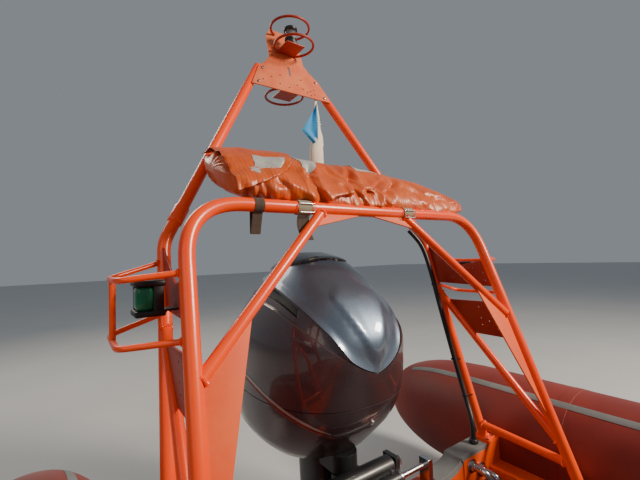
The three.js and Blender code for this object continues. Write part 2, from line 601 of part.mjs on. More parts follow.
// Gearcase: the plate over the propeller, the torpedo and the skeg.
const GEAR = [[-150 - GAP, -350, 58, 150], [-260, -355, 38, 140], [PROP_Z, -355, 30, 130]];
const gearRings = GEAR.map(([z, y, hx, hy]) => roundedRing(V(0, aft(y), z), hx, hy, flat, 2.2, 20));
const WASH_PLATE = [[-205, -400, 105, 210], [-192, -400, 105, 210]];
const washRings = WASH_PLATE.map(([z, y, hx, hy]) => roundedRing(V(0, aft(y), z), hx, hy, flat, 3, 20));
// [radius, from the nose]
const TORPEDO = [[0, 0], [38, 22], [56, 70], [62, 150], [60, 250], [52, 305], [0, 305]];
const torpedoShape = new THREE.LatheGeometry(TORPEDO.map(([r, d]) => new THREE.Vector2(r, d)), 16);
const noseForward = new THREE.Matrix4().makeRotationX(Math.PI).setPosition(0, aft(-190), PROP_Z);
const SKEG = [[-235, -470], [-300, -600], [-400, -600], [-440, -470]];
const skeg = sidePlate(SKEG.map(([y, z]) => [aft(y), z]), -6, 6);
piece("gearcase", join(loft(gearRings), loft(washRings), solid(torpedoShape, noseForward), skeg), "black");

// Propeller: a hub and three pitched blades.
const PROP_HUB = [-495 - PIN_CLEAR, -610];
const PROP_PITCH = 430;
const HUB_HALF_LENGTH = 52; // the blades' roots stay within it
// [radius, half chord, half thick]
const BLADE = [[40, 60, 9], [90, 78, 7], [145, 76, 5], [180, 50, 3], [194, 22, 2]];
const bladeMiddle = V(0, aft((PROP_HUB[0] + PROP_HUB[1]) / 2), PROP_Z);
function blade(turn) {
  const out = V(Math.sin(turn), 0, Math.cos(turn));
  const round = V(Math.cos(turn), 0, -Math.sin(turn));
  const rings = BLADE.map(([r, chord, thick]) => {
    const pitch = Math.atan(PROP_PITCH / (2 * Math.PI * r));
    const along = round.clone().multiplyScalar(Math.cos(pitch)).add(V(0, Math.sin(pitch), 0));
    const across = out.clone().cross(along);
    const place = (a, b) => along.clone().multiplyScalar(a).addScaledVector(across, b);
    const halfChord = Math.min(chord, HUB_HALF_LENGTH / Math.sin(pitch));
    return roundedRing(bladeMiddle.clone().addScaledVector(out, r), halfChord, thick, place, 2, 12);
  });
  return loft(rings);
}
const hub = rod(V(0, aft(PROP_HUB[0]), PROP_Z), V(0, aft(PROP_HUB[1]), PROP_Z), 104, 20);
piece("propeller", join(hub, ...[0, 1, 2].map((i) => blade((2 * Math.PI * i) / 3))), "metal");

export default boat;
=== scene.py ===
import bpy
import bmesh
import json
import math
from mathutils import Matrix, Vector, noise
from mathutils.bvhtree import BVHTree
from mathutils.kdtree import KDTree

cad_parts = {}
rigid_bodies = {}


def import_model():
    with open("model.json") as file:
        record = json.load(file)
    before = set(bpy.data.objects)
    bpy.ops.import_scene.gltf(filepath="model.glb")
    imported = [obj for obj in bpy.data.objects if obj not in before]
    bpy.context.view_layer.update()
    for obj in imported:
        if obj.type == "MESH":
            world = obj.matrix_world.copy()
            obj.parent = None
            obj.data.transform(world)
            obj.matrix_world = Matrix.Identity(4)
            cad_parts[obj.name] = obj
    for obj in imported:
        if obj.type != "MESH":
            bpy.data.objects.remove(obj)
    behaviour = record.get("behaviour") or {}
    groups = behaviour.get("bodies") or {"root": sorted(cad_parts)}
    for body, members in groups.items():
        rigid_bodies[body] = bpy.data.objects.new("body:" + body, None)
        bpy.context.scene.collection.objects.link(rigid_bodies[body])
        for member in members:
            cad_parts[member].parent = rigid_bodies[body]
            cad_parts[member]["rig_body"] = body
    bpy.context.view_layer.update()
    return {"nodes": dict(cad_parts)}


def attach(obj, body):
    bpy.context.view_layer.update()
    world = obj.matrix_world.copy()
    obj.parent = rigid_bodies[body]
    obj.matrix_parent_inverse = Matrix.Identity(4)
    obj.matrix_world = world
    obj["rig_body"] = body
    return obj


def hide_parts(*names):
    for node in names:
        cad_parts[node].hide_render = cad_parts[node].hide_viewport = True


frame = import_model()
nodes = frame["nodes"]
print("frame loaded,", len(nodes), "nodes")

transomY = -2.7
waterline = 0.0
sides = {"starboard": 1, "port": -1}

# The camera stands in the boat, near the starboard side, and looks aft over the engine.
view = {
    "place": (0.891, -1.652, 1.332),
    "yaw": 34.34,
    "pitch": 2.91,
    "roll": -2.06,
    "lens": 20.25,
}


def makeCamera(settings):
    yaw, pitch, roll = (math.radians(settings[k]) for k in ("yaw", "pitch", "roll"))
    level = math.cos(pitch)
    ahead = Vector((-math.sin(yaw) * level, -math.cos(yaw) * level, math.sin(pitch)))
    right = Vector((-math.cos(yaw), math.sin(yaw), 0))
    up = right.cross(ahead)
    across = right * math.cos(roll) + up * math.sin(roll)
    above = up * math.cos(roll) - right * math.sin(roll)
    data = bpy.data.cameras.new("photoCamera")
    data.sensor_width = 36
    data.lens = settings["lens"]
    data.clip_start = 0.02
    camera = bpy.data.objects.new("photoCamera", data)
    turn = Matrix((across, above, -ahead)).transposed().to_4x4()
    camera.matrix_world = Matrix.Translation(settings["place"]) @ turn
    bpy.context.scene.collection.objects.link(camera)
    bpy.context.scene.camera = camera


makeCamera(view)
print("camera placed")


# Materials. Patches, grain and marks are given by their size in millimetres.

def colour(hexCode):
    parts = [int(hexCode[i : i + 2], 16) / 255 for i in (1, 3, 5)]
    return [p / 12.92 if p <= 0.04045 else ((p + 0.055) / 1.055) ** 2.4 for p in parts] + [1]


# A colour mix takes its share at socket 0 and its colours at 6 and 7, and gives its colour at 2.
def add(tree, kind, inputs=None, **settings):
    made = tree.nodes.new("ShaderNode" + kind)
    for key, value in settings.items():
        setattr(made, key, value)
    for key, value in (inputs or {}).items():
        if isinstance(value, bpy.types.NodeSocket):
            tree.links.new(value, made.inputs[key])
        else:
            made.inputs[key].default_value = value
    return made


def perMetre(millimetres):
    return 1000 / millimetres


# A wave pattern has 20 waves to the unit at scale 1.
def waves(millimetres):
    return perMetre(millimetres) / 20


def startMaterial(name):
    material = bpy.data.materials.new(name)
    material.use_nodes = True
    tree = material.node_tree
    tree.nodes.clear()
    return material, tree, add(tree, "TexCoord").outputs["Object"]


def finishMaterial(tree, inputs):
    shader = add(tree, "BsdfPrincipled", inputs)
    tree.links.new(shader.outputs[0], add(tree, "OutputMaterial").inputs["Surface"])


# Broad patches between two tones, small marks of a third, and a fine grain in the surface.
def coated(name, look):
    material, tree, place = startMaterial(name)
    patch = add(tree, "TexNoise", {
        "Vector": place, "Scale": perMetre(look["patchMm"]), "Detail": 5, "Roughness": 0.6,
    })
    marks = add(tree, "TexNoise", {
        "Vector": place, "Scale": perMetre(look["markMm"]), "Detail": 4, "Roughness": 0.7,
    })
    grain = add(tree, "TexNoise", {"Vector": place, "Scale": perMetre(look["grainMm"]), "Detail": 2})
    faded = add(tree, "MapRange", {"Value": patch.outputs["Fac"], "From Min": 0.35, "From Max": 0.7})
    marked = add(tree, "MapRange", {
        "Value": marks.outputs["Fac"], "From Min": look["markFrom"], "From Max": look["markFrom"] + 0.03,
    })
    tones = {0: faded.outputs[0], 6: colour(look["colour"]), 7: colour(look["faded"])}
    tone = add(tree, "Mix", tones, data_type="RGBA")
    worn = {0: marked.outputs[0], 6: tone.outputs[2], 7: colour(look["mark"])}
    base = add(tree, "Mix", worn, data_type="RGBA")
    low, high = look["roughness"], look["roughness"] + look["uneven"]
    rough = add(tree, "MapRange", {"Value": patch.outputs["Fac"], "To Min": low, "To Max": high})
    bump = add(tree, "Bump", {
        "Height": grain.outputs["Fac"], "Strength": look["bump"], "Distance": 0.001 * look["bumpMm"],
    })
    finishMaterial(tree, {
        "Base Color": base.outputs[2],
        "Roughness": rough.outputs[0],
        "Metallic": look.get("metallic", 0.0),
        "Coat Weight": look.get("coat", 0.0),
        "Coat Roughness": 0.1,
        "Sheen Weight": look.get("sheen", 0.0),
        "Normal": bump.outputs["Normal"],
    })
    return material


# Two-pack enamel over welded steel pipe: glossy, with faint runs and orange peel.
frameEnamel = coated("frameEnamel", {
    "colour": "#FA4600", "faded": "#FF5400", "mark": "#742C08",
    "patchMm": 260, "grainMm": 9, "markMm": 24, "markFrom": 0.74,
    "roughness": 0.22, "uneven": 0.14, "bump": 0.25, "bumpMm": 0.6, "coat": 0.08,
})
# The same enamel on cut plate, weathered chalky and matt, chipped down to the primer.
plateEnamel = coated("plateEnamel", {
    "colour": "#E24E0C", "faded": "#EA6624", "mark": "#562C1E",
    "patchMm": 130, "grainMm": 3, "markMm": 14, "markFrom": 0.715,
    "roughness": 0.5, "uneven": 0.2, "bump": 0.4, "bumpMm": 0.5,
})
# The apex plate has stood in the sun longest and has faded to salmon.
fadedEnamel = coated("fadedEnamel", {
    "colour": "#D05A30", "faded": "#DC7A4E", "mark": "#4C3832",
    "patchMm": 90, "grainMm": 3, "markMm": 12, "markFrom": 0.675,
    "roughness": 0.6, "uneven": 0.2, "bump": 0.45, "bumpMm": 0.5,
})
# Frame enamel darkened to a painted shade, on the side plates and the lamps' guard rings.
shadedEnamel = coated("shadedEnamel", {
    "colour": "#962002", "faded": "#A62C06", "mark": "#3A160A",
    "patchMm": 160, "grainMm": 4, "markMm": 18, "markFrom": 0.73,
    "roughness": 0.38, "uneven": 0.15, "bump": 0.3, "bumpMm": 0.5,
})
# Polyester gelcoat on the moulded hull: smooth, even and a little chalked.
hullGelcoat = coated("hullGelcoat", {
    "colour": "#E24600", "faded": "#E95604", "mark": "#6A280C",
    "patchMm": 420, "grainMm": 6, "markMm": 60, "markFrom": 0.74,
    "roughness": 0.28, "uneven": 0.14, "bump": 0.12, "bumpMm": 0.4, "coat": 0.3,
})
# Synthetic rubber coated on woven cloth: matt, with the cloth showing as a fine grain. Its red is darkened
# to a painted shade.
collarRubber = coated("collarRubber", {
    "colour": "#6E1006", "faded": "#84200E", "mark": "#4A0E06",
    "patchMm": 330, "grainMm": 4, "markMm": 90, "markFrom": 0.7,
    "roughness": 0.5, "uneven": 0.22, "bump": 0.35, "bumpMm": 0.35, "sheen": 0.08,
})
# Grey rubber tape and rubbing strips cemented to the collar, and the transom's edging.
greyRubber = coated("greyRubber", {
    "colour": "#66696A", "faded": "#7F8282", "mark": "#3C3C3C",
    "patchMm": 200, "grainMm": 3, "markMm": 40, "markFrom": 0.7,
    "roughness": 0.55, "uneven": 0.2, "bump": 0.3, "bumpMm": 0.5,
})
# Black moulded ABS of lamps, conduit and controls: fine grain, satin.
blackAbs = coated("blackAbs", {
    "colour": "#101113", "faded": "#1C1E20", "mark": "#3A3A3A",
    "patchMm": 90, "grainMm": 2, "markMm": 30, "markFrom": 0.74,
    "roughness": 0.34, "uneven": 0.2, "bump": 0.3, "bumpMm": 0.2,
})
# Cast aluminium under satin black engine paint, scuffed grey in places.
castAluminium = coated("castAluminium", {
    "colour": "#151618", "faded": "#202225", "mark": "#5E6062",
    "patchMm": 120, "grainMm": 3, "markMm": 24, "markFrom": 0.75,
    "roughness": 0.34, "uneven": 0.16, "bump": 0.3, "bumpMm": 0.3, "coat": 0.2,
})
# Grey gelcoat mouldings of the console, seat bases and hatch.
greyGelcoat = coated("greyGelcoat", {
    "colour": "#80868A", "faded": "#92989B", "mark": "#555B5E",
    "patchMm": 300, "grainMm": 4, "markMm": 60, "markFrom": 0.75,
    "roughness": 0.3, "uneven": 0.15, "bump": 0.15, "bumpMm": 0.3, "coat": 0.2,
})
# Polished stainless steel, with water marks.
stainless = coated("stainless", {
    "colour": "#C9CCCE", "faded": "#B4B7BA", "mark": "#8A8782",
    "patchMm": 80, "grainMm": 2, "markMm": 20, "markFrom": 0.72,
    "roughness": 0.16, "uneven": 0.16, "bump": 0.08, "bumpMm": 0.1, "metallic": 1.0,
})
# Silver and red decal film, laid as a double line on the engine's cover.
silverFilm = coated("silverFilm", {
    "colour": "#A39A92", "faded": "#B8AEA6", "mark": "#857C76",
    "patchMm": 90, "grainMm": 2, "markMm": 30, "markFrom": 0.74,
    "roughness": 0.3, "uneven": 0.1, "bump": 0.05, "bumpMm": 0.1, "metallic": 0.5,
})
redFilm = coated("redFilm", {
    "colour": "#7E1F14", "faded": "#96301F", "mark": "#5A1A12",
    "patchMm": 90, "grainMm": 2, "markMm": 30, "markFrom": 0.74,
    "roughness": 0.3, "uneven": 0.1, "bump": 0.05, "bumpMm": 0.1,
})
# Reinforced PVC hose.
blueHose = coated("blueHose", {
    "colour": "#1D4F8C", "faded": "#2E67A6", "mark": "#16355E",
    "patchMm": 60, "grainMm": 2, "markMm": 20, "markFrom": 0.72,
    "roughness": 0.35, "uneven": 0.15, "bump": 0.2, "bumpMm": 0.3,
})
# Retroreflective tape, aged and crazed.
reflectiveTape = coated("reflectiveTape", {
    "colour": "#C2C3BD", "faded": "#A5A7A3", "mark": "#96705C",
    "patchMm": 40, "grainMm": 3, "markMm": 12, "markFrom": 0.64,
    "roughness": 0.32, "uneven": 0.2, "bump": 0.35, "bumpMm": 0.3, "metallic": 0.25,
})
# Gloss black moulded rim behind the engine cover's crest.
rimAbs = coated("rimAbs", {
    "colour": "#0B0B0D", "faded": "#131316", "mark": "#2A2A2C",
    "patchMm": 120, "grainMm": 3, "markMm": 30, "markFrom": 0.76,
    "roughness": 0.1, "uneven": 0.08, "bump": 0.05, "bumpMm": 0.2, "coat": 0.8,
})
# Printed black faces of the gauges, under glass.
gaugeFace = coated("gaugeFace", {
    "colour": "#0C0D0F", "faded": "#15171A", "mark": "#20252A",
    "patchMm": 60, "grainMm": 2, "markMm": 20, "markFrom": 0.7,
    "roughness": 0.12, "uneven": 0.06, "bump": 0.02, "bumpMm": 0.1, "coat": 1.0,
})


# Clear-coated metallic paint on the engine's moulded cover: a fine flake that sparkles.
def flakePaint(name, look):
    material, tree, place = startMaterial(name)
    flake = add(tree, "TexVoronoi", {"Vector": place, "Scale": perMetre(look["flakeMm"])})
    dust = add(tree, "TexNoise", {"Vector": place, "Scale": perMetre(240), "Detail": 6, "Roughness": 0.65})
    soiled = add(tree, "MapRange", {"Value": dust.outputs["Fac"], "From Min": 0.48, "From Max": 0.95})
    tones = {0: flake.outputs["Distance"], 6: colour(look["bright"]), 7: colour(look["colour"])}
    tone = add(tree, "Mix", tones, data_type="RGBA")
    dusted = {0: soiled.outputs[0], 6: tone.outputs[2], 7: colour(look["dust"])}
    base = add(tree, "Mix", dusted, data_type="RGBA")
    low = look["roughness"]
    rough = add(tree, "MapRange", {"Value": dust.outputs["Fac"], "To Min": low, "To Max": low + 0.2})
    bump = add(tree, "Bump", {"Height": flake.outputs["Distance"], "Strength": 0.08, "Distance": 0.0003})
    finishMaterial(tree, {
        "Base Color": base.outputs[2],
        "Roughness": rough.outputs[0],
        "Metallic": look["metallic"],
        "Coat Weight": 0.8,
        "Coat Roughness": 0.05,
        "Normal": bump.outputs["Normal"],
    })
    return material


coverPaint = flakePaint("coverPaint", {
    "colour": "#342A2D", "bright": "#66565A", "dust": "#4E4243",
    "flakeMm": 1.4, "metallic": 0.45, "roughness": 0.22,
})
panelPaint = flakePaint("panelPaint", {
    "colour": "#485463", "bright": "#74859A", "dust": "#687480",
    "flakeMm": 1.4, "metallic": 0.65, "roughness": 0.28,
})


# PVC-coated polyester: waxy on the folds, faded, and rubbed lighter along the creases.
def coatedCloth(name, look):
    material, tree, place = startMaterial(name)
    patch = add(tree, "TexNoise", {"Vector": place, "Scale": perMetre(190), "Detail": 6, "Roughness": 0.62})
    rub = add(tree, "TexNoise", {"Vector": place, "Scale": perMetre(24), "Detail": 5, "Roughness": 0.7})
    crease = add(tree, "TexNoise", {"Vector": place, "Scale": perMetre(55), "Detail": 7, "Roughness": 0.6})
    weave = add(tree, "TexWave", {"Vector": place, "Scale": waves(look["threadMm"]), "Distortion": 0.4})
    spread = add(tree, "MapRange", {"Value": patch.outputs["Fac"], "From Min": 0.32, "From Max": 0.68})
    rubbed = add(tree, "MapRange", {"Value": rub.outputs["Fac"], "From Min": 0.58, "From Max": 0.85})
    tones = {0: spread.outputs[0], 6: colour(look["colour"]), 7: colour(look["faded"])}
    tone = add(tree, "Mix", tones, data_type="RGBA")
    worn = {0: rubbed.outputs[0], 6: tone.outputs[2], 7: colour(look["rubbed"])}
    base = add(tree, "Mix", worn, data_type="RGBA")
    # the creases stand eight times as high as the weave
    relief = {0: crease.outputs["Fac"], 1: 8.0, 2: weave.outputs["Fac"]}
    height = add(tree, "Math", relief, operation="MULTIPLY_ADD")
    bump = add(tree, "Bump", {"Height": height.outputs[0], "Strength": 0.5, "Distance": 0.0009})
    rough = add(tree, "MapRange", {"Value": patch.outputs["Fac"], "To Min": 0.26, "To Max": 0.5})
    finishMaterial(tree, {
        "Base Color": base.outputs[2],
        "Roughness": rough.outputs[0],
        "Coat Weight": 0.12,
        "Coat Roughness": 0.25,
        "Normal": bump.outputs["Normal"],
    })
    return material


bagPvc = coatedCloth("bagPvc", {
    "colour": "#C0460C", "faded": "#CF6022", "rubbed": "#D98A54", "threadMm": 2,
})


# Woven polyester: ribs one way and picks the other, at the thread spacing given.
def wovenCloth(name, look):
    material, tree, place = startMaterial(name)
    scale = waves(look["threadMm"])
    ribs = add(tree, "TexWave", {"Vector": place, "Scale": scale, "Distortion": 0.6}, bands_direction="X")
    picks = add(tree, "TexWave", {"Vector": place, "Scale": scale, "Distortion": 0.6}, bands_direction="Z")
    patch = add(tree, "TexNoise", {"Vector": place, "Scale": perMetre(45), "Detail": 5})
    tones = {0: patch.outputs["Fac"], 6: colour(look["colour"]), 7: colour(look["faded"])}
    tone = add(tree, "Mix", tones, data_type="RGBA")
    height = add(tree, "Math", {0: ribs.outputs["Fac"], 1: picks.outputs["Fac"]}, operation="ADD")
    bump = add(tree, "Bump", {"Height": height.outputs[0], "Strength": 0.5, "Distance": 0.0006})
    finishMaterial(tree, {
        "Base Color": tone.outputs[2],
        "Roughness": 0.85,
        "Sheen Weight": 0.2,
        "Normal": bump.outputs["Normal"],
    })
    return material


webbing = wovenCloth("webbing", {"colour": "#6E6250", "faded": "#A39880", "threadMm": 3})
darkWebbing = wovenCloth("darkWebbing", {"colour": "#33261F", "faded": "#4E3C30", "threadMm": 3})
flagCloth = wovenCloth("flagCloth", {"colour": "#F0E6D2", "faded": "#DCD0BA", "threadMm": 2})
flagBand = wovenCloth("flagBand", {"colour": "#1B84C2", "faded": "#3C9BD0", "threadMm": 2})


# Upholstery vinyl over foam: a pebbled leather grain and a low sheen.
def grainedVinyl(name, look):
    material, tree, place = startMaterial(name)
    pebbles = {"Vector": place, "Scale": perMetre(look["pebbleMm"])}
    pebble = add(tree, "TexVoronoi", pebbles, feature="DISTANCE_TO_EDGE")
    patch = add(tree, "TexNoise", {"Vector": place, "Scale": perMetre(120), "Detail": 5})
    tones = {0: patch.outputs["Fac"], 6: colour(look["colour"]), 7: colour(look["faded"])}
    base = add(tree, "Mix", tones, data_type="RGBA")
    rough = add(tree, "MapRange", {"Value": patch.outputs["Fac"], "To Min": 0.36, "To Max": 0.58})
    bump = add(tree, "Bump", {"Height": pebble.outputs["Distance"], "Strength": 0.6, "Distance": 0.0006})
    finishMaterial(tree, {
        "Base Color": base.outputs[2], "Roughness": rough.outputs[0], "Normal": bump.outputs["Normal"],
    })
    return material


seatVinyl = grainedVinyl("seatVinyl", {"colour": "#151618", "faded": "#26282B", "pebbleMm": 4})


# Foamed rubber deck sheet, moulded with raised ribs fore and aft.
def ribbedRubber(name, look):
    material, tree, place = startMaterial(name)
    ribs = add(tree, "TexWave", {"Vector": place, "Scale": waves(look["ribMm"])}, bands_direction="X")
    patch = add(tree, "TexNoise", {"Vector": place, "Scale": perMetre(260), "Detail": 6})
    tones = {0: patch.outputs["Fac"], 6: colour(look["colour"]), 7: colour(look["faded"])}
    base = add(tree, "Mix", tones, data_type="RGBA")
    bump = add(tree, "Bump", {"Height": ribs.outputs["Fac"], "Strength": 0.8, "Distance": 0.002})
    finishMaterial(tree, {
        "Base Color": base.outputs[2], "Roughness": 0.8, "Normal": bump.outputs["Normal"],
    })
    return material


deckRubber = ribbedRubber("deckRubber", {"colour": "#34383A", "faded": "#505457", "ribMm": 14})


# Cast acrylic, clear for the screen or tinted and fluted for a lens.
def castAcrylic(name, look):
    material, tree, place = startMaterial(name)
    flutes = add(tree, "TexWave", {"Vector": place, "Scale": waves(look["fluteMm"])}, bands_direction="Z")
    bump = add(tree, "Bump", {"Height": flutes.outputs["Fac"], "Strength": look["bump"], "Distance": 0.001})
    finishMaterial(tree, {
        "Base Color": colour(look["colour"]),
        "Roughness": look["roughness"],
        "IOR": 1.49,
        "Transmission Weight": look["through"],
        "Normal": bump.outputs["Normal"],
    })
    return material


clearAcrylic = castAcrylic("clearAcrylic", {
    "colour": "#D3DFE2", "fluteMm": 60, "bump": 0.02, "roughness": 0.04, "through": 0.92,
})
greenLens = castAcrylic("greenLens", {
    "colour": "#128A5C", "fluteMm": 6, "bump": 0.6, "roughness": 0.12, "through": 0.35,
})
redLens = castAcrylic("redLens", {
    "colour": "#B8170F", "fluteMm": 6, "bump": 0.6, "roughness": 0.12, "through": 0.35,
})
clearLens = castAcrylic("clearLens", {
    "colour": "#CFD6D8", "fluteMm": 6, "bump": 0.6, "roughness": 0.1, "through": 0.7,
})
print("materials made")


# Mesh tools

# Faces and edges in the order of their corners, so that a cloth simulation runs the same each time.
def putInOrder(bm):
    bm.verts.index_update()
    count = len(bm.verts)

    def byCorners(element):
        number = 0
        for index in sorted(v.index for v in element.verts)[:3]:
            number = number * count + index
        return number

    bm.faces.sort(key=byCorners)
    bm.edges.sort(key=byCorners)


def keep(name, bm, materials, sharp=35):
    bmesh.ops.remove_doubles(bm, verts=bm.verts, dist=0.00002)
    bmesh.ops.recalc_face_normals(bm, faces=bm.faces)
    putInOrder(bm)
    mesh = bpy.data.meshes.new(name)
    bm.to_mesh(mesh)
    bm.free()
    made = bpy.data.objects.new(name, mesh)
    bpy.context.scene.collection.objects.link(made)
    for each in materials:
        mesh.materials.append(each)
    if "custom_normal" in mesh.attributes:
        mesh.attributes.remove(mesh.attributes["custom_normal"])
    mesh.shade_smooth()
    mesh.set_sharp_from_angle(angle=math.radians(sharp))
    return made


def fit(piece, body, slotName, *replaced):
    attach(piece, body)
    if replaced:
        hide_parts(*replaced)
    return piece


def applyModifiers(piece):
    graph = bpy.context.evaluated_depsgraph_get()
    done = bpy.data.meshes.new_from_object(piece.evaluated_get(graph))
    piece.modifiers.clear()
    piece.data = done


def rounding(piece, levels):
    smooth = piece.modifiers.new("rounding", "SUBSURF")
    smooth.levels = levels
    smooth.render_levels = levels
    return piece


def edging(piece, width):
    soft = piece.modifiers.new("edging", "BEVEL")
    soft.width = width
    soft.segments = 2
    soft.limit_method = "ANGLE"
    soft.angle_limit = math.radians(40)
    return piece


# Blender's own order of new vertices isn't promised, so a ring is walked edge by edge.
def inOrder(verts):
    ring = [verts[0]]
    left = set(verts[1:])
    while left:
        step = next(v for v in (e.other_vert(ring[-1]) for e in ring[-1].link_edges) if v in left)
        ring.append(step)
        left.remove(step)
    return ring


def paint(bm, before, material):
    if material:
        for face in bm.faces:
            if face not in before:
                face.material_index = material


def roundBend(corners, bend, steps):
    points = [Vector(corners[0])]
    for i in range(1, len(corners) - 1):
        corner = Vector(corners[i])
        back = (Vector(corners[i - 1]) - corner).normalized()
        on = (Vector(corners[i + 1]) - corner).normalized()
        reach = bend / math.tan(back.angle(on) / 2)
        start, end = corner + back * reach, corner + on * reach
        for k in range(steps + 1):
            t = k / steps
            points.append(start * (1 - t) ** 2 + corner * 2 * t * (1 - t) + end * t**2)
    points.append(Vector(corners[-1]))
    return points


# Points at even steps on a smooth line through the given ones, so many to each stretch.
def throughPoints(points, each):
    points = [Vector(p) for p in points]
    line = []
    for i in range(len(points) - 1):
        a = points[max(i - 1, 0)]
        b, c = points[i], points[i + 1]
        d = points[min(i + 2, len(points) - 1)]
        for k in range(each):
            t = k / each
            square, cube = a * 2 - b * 5 + c * 4 - d, b * 3 - a - c * 3 + d
            line.append(0.5 * (b * 2 + (c - a) * t + square * t**2 + cube * t**3))
    line.append(points[-1])
    return line


# A circle is extruded from point to point and turned into each bend.
def addPipe(bm, points, diameter, segments=24, material=0):
    before = set(bm.faces)
    points = [Vector(p) for p in points]
    along = (points[1] - points[0]).normalized()
    turn = along.to_track_quat("Z", "Y").to_matrix().to_4x4()
    stand = Matrix.Translation(points[0]) @ turn
    ring = bmesh.ops.create_circle(
        bm, cap_ends=False, segments=segments, radius=diameter / 2, matrix=stand
    )["verts"]
    edges = list({e for v in ring for e in v.link_edges})
    bmesh.ops.contextual_create(bm, geom=edges)
    for i in range(1, len(points)):
        grown = bmesh.ops.extrude_edge_only(bm, edges=edges)["geom"]
        ring = [g for g in grown if isinstance(g, bmesh.types.BMVert)]
        fresh = set(ring)
        edges = [g for g in grown if isinstance(g, bmesh.types.BMEdge) and fresh.issuperset(g.verts)]
        ahead = (points[min(i + 1, len(points) - 1)] - points[i - 1]).normalized()
        bmesh.ops.translate(bm, verts=ring, vec=points[i] - points[i - 1])
        bend = along.rotation_difference(ahead).to_matrix()
        bmesh.ops.rotate(bm, verts=ring, cent=points[i], matrix=bend)
        along = ahead
    bmesh.ops.contextual_create(bm, geom=edges)
    paint(bm, before, material)


def addBox(bm, low, high, bevel=0.0, segments=2, material=0, turn=None):
    before = set(bm.faces)
    low, high = Vector(low), Vector(high)
    place = Matrix.Translation((low + high) / 2) @ Matrix.Diagonal(high - low).to_4x4()
    verts = bmesh.ops.create_cube(bm, size=1, matrix=(turn or Matrix()) @ place)["verts"]
    if bevel:
        edges = list({e for v in verts for e in v.link_edges})
        bmesh.ops.bevel(
            bm, geom=edges, offset=bevel, segments=segments, affect="EDGES", profile=0.5, material=-1
        )
    paint(bm, before, material)


def addDrum(bm, centre, axis, diameter, length, bevel=0.0, segments=24, material=0, top=None):
    before = set(bm.faces)
    turn = Vector(axis).normalized().to_track_quat("Z", "Y").to_matrix().to_4x4()
    verts = bmesh.ops.create_cone(
        bm,
        cap_ends=True,
        segments=segments,
        radius1=diameter / 2,
        radius2=(diameter if top is None else top) / 2,
        depth=length,
        matrix=Matrix.Translation(Vector(centre)) @ turn,
    )["verts"]
    if bevel:
        edges = {e for v in verts for e in v.link_edges}
        rims = [e for e in edges if any(len(f.verts) == segments for f in e.link_faces)]
        bmesh.ops.bevel(bm, geom=rims, offset=bevel, segments=2, affect="EDGES", profile=0.5, material=-1)
    paint(bm, before, material)


def addTorus(bm, centre, axis, radius, wire, steps=48, material=0):
    before = set(bm.faces)
    axis = Vector(axis).normalized()
    side = axis.orthogonal().normalized()
    at = Vector(centre) + side * radius
    turn = axis.cross(side).to_track_quat("Z", "Y").to_matrix().to_4x4()
    verts = bmesh.ops.create_circle(
        bm, cap_ends=False, segments=12, radius=wire / 2, matrix=Matrix.Translation(at) @ turn
    )["verts"]
    edges = list({e for v in verts for e in v.link_edges})
    bmesh.ops.spin(
        bm, geom=verts + edges, cent=centre, axis=axis, angle=2 * math.pi, steps=steps, use_merge=True
    )
    paint(bm, before, material)


# Weld metal laid round a joint: a thin ring whose steps swell in turn.
def addWeld(bm, centre, axis, diameter, bead=0.008):
    before = set(bm.verts)
    steps = max(28, int(diameter * 1300) // 2 * 2)
    addTorus(bm, centre, axis, diameter / 2, bead, steps)
    axis, centre = Vector(axis).normalized(), Vector(centre)
    side = axis.orthogonal().normalized()
    for v in bm.verts:
        if v in before:
            continue
        out = v.co - centre
        flat = (out - axis * out.dot(axis)).normalized()
        angle = math.atan2(flat.dot(axis.cross(side)), flat.dot(side))
        v.co += (v.co - centre - flat * diameter / 2) * 0.3 * math.cos(angle * steps / 2)


# A plate from a flat outline, thickened along its normal, with its edges broken.
def addPlate(bm, outline, normal, thick):
    verts = [bm.verts.new(Vector(p)) for p in outline]
    face = bm.faces.new(verts)
    grown = bmesh.ops.extrude_face_region(bm, geom=[face])["geom"]
    moved = [g for g in grown if isinstance(g, bmesh.types.BMVert)]
    bmesh.ops.translate(bm, verts=moved, vec=Vector(normal).normalized() * thick)
    edges = list({e for v in verts + moved for e in v.link_edges})
    bmesh.ops.bevel(bm, geom=edges, offset=0.0012, segments=2, affect="EDGES", profile=0.5, material=-1)


# A closed skin through rings of equally many points, each ring extruded from the one before.
def addSkin(bm, rings, material=0):
    before = set(bm.faces)
    count = len(rings[0])
    ring = inOrder(list(bmesh.ops.create_circle(bm, cap_ends=False, segments=count, radius=1)["verts"]))
    loops = []
    for points in rings:
        if loops:
            edges = [bm.edges.get((ring[i], ring[(i + 1) % count])) for i in range(count)]
            grown = bmesh.ops.extrude_edge_only(bm, edges=edges)["geom"]
            fresh = {v for v in grown if isinstance(v, bmesh.types.BMVert)}
            ring = [next(o for o in (e.other_vert(v) for e in v.link_edges) if o in fresh) for v in ring]
        for v, p in zip(ring, points):
            v.co = p
        loops.append(ring)
    for ends in (loops[0], loops[-1]):
        centre = sum((v.co for v in ends), Vector()) / count
        cap = bm.faces.new(ends)
        bmesh.ops.inset_individual(bm, faces=[cap], thickness=0.0001)
        for v in cap.verts:
            v.co = centre.lerp(v.co, 0.6)
    paint(bm, before, material)
    return loops


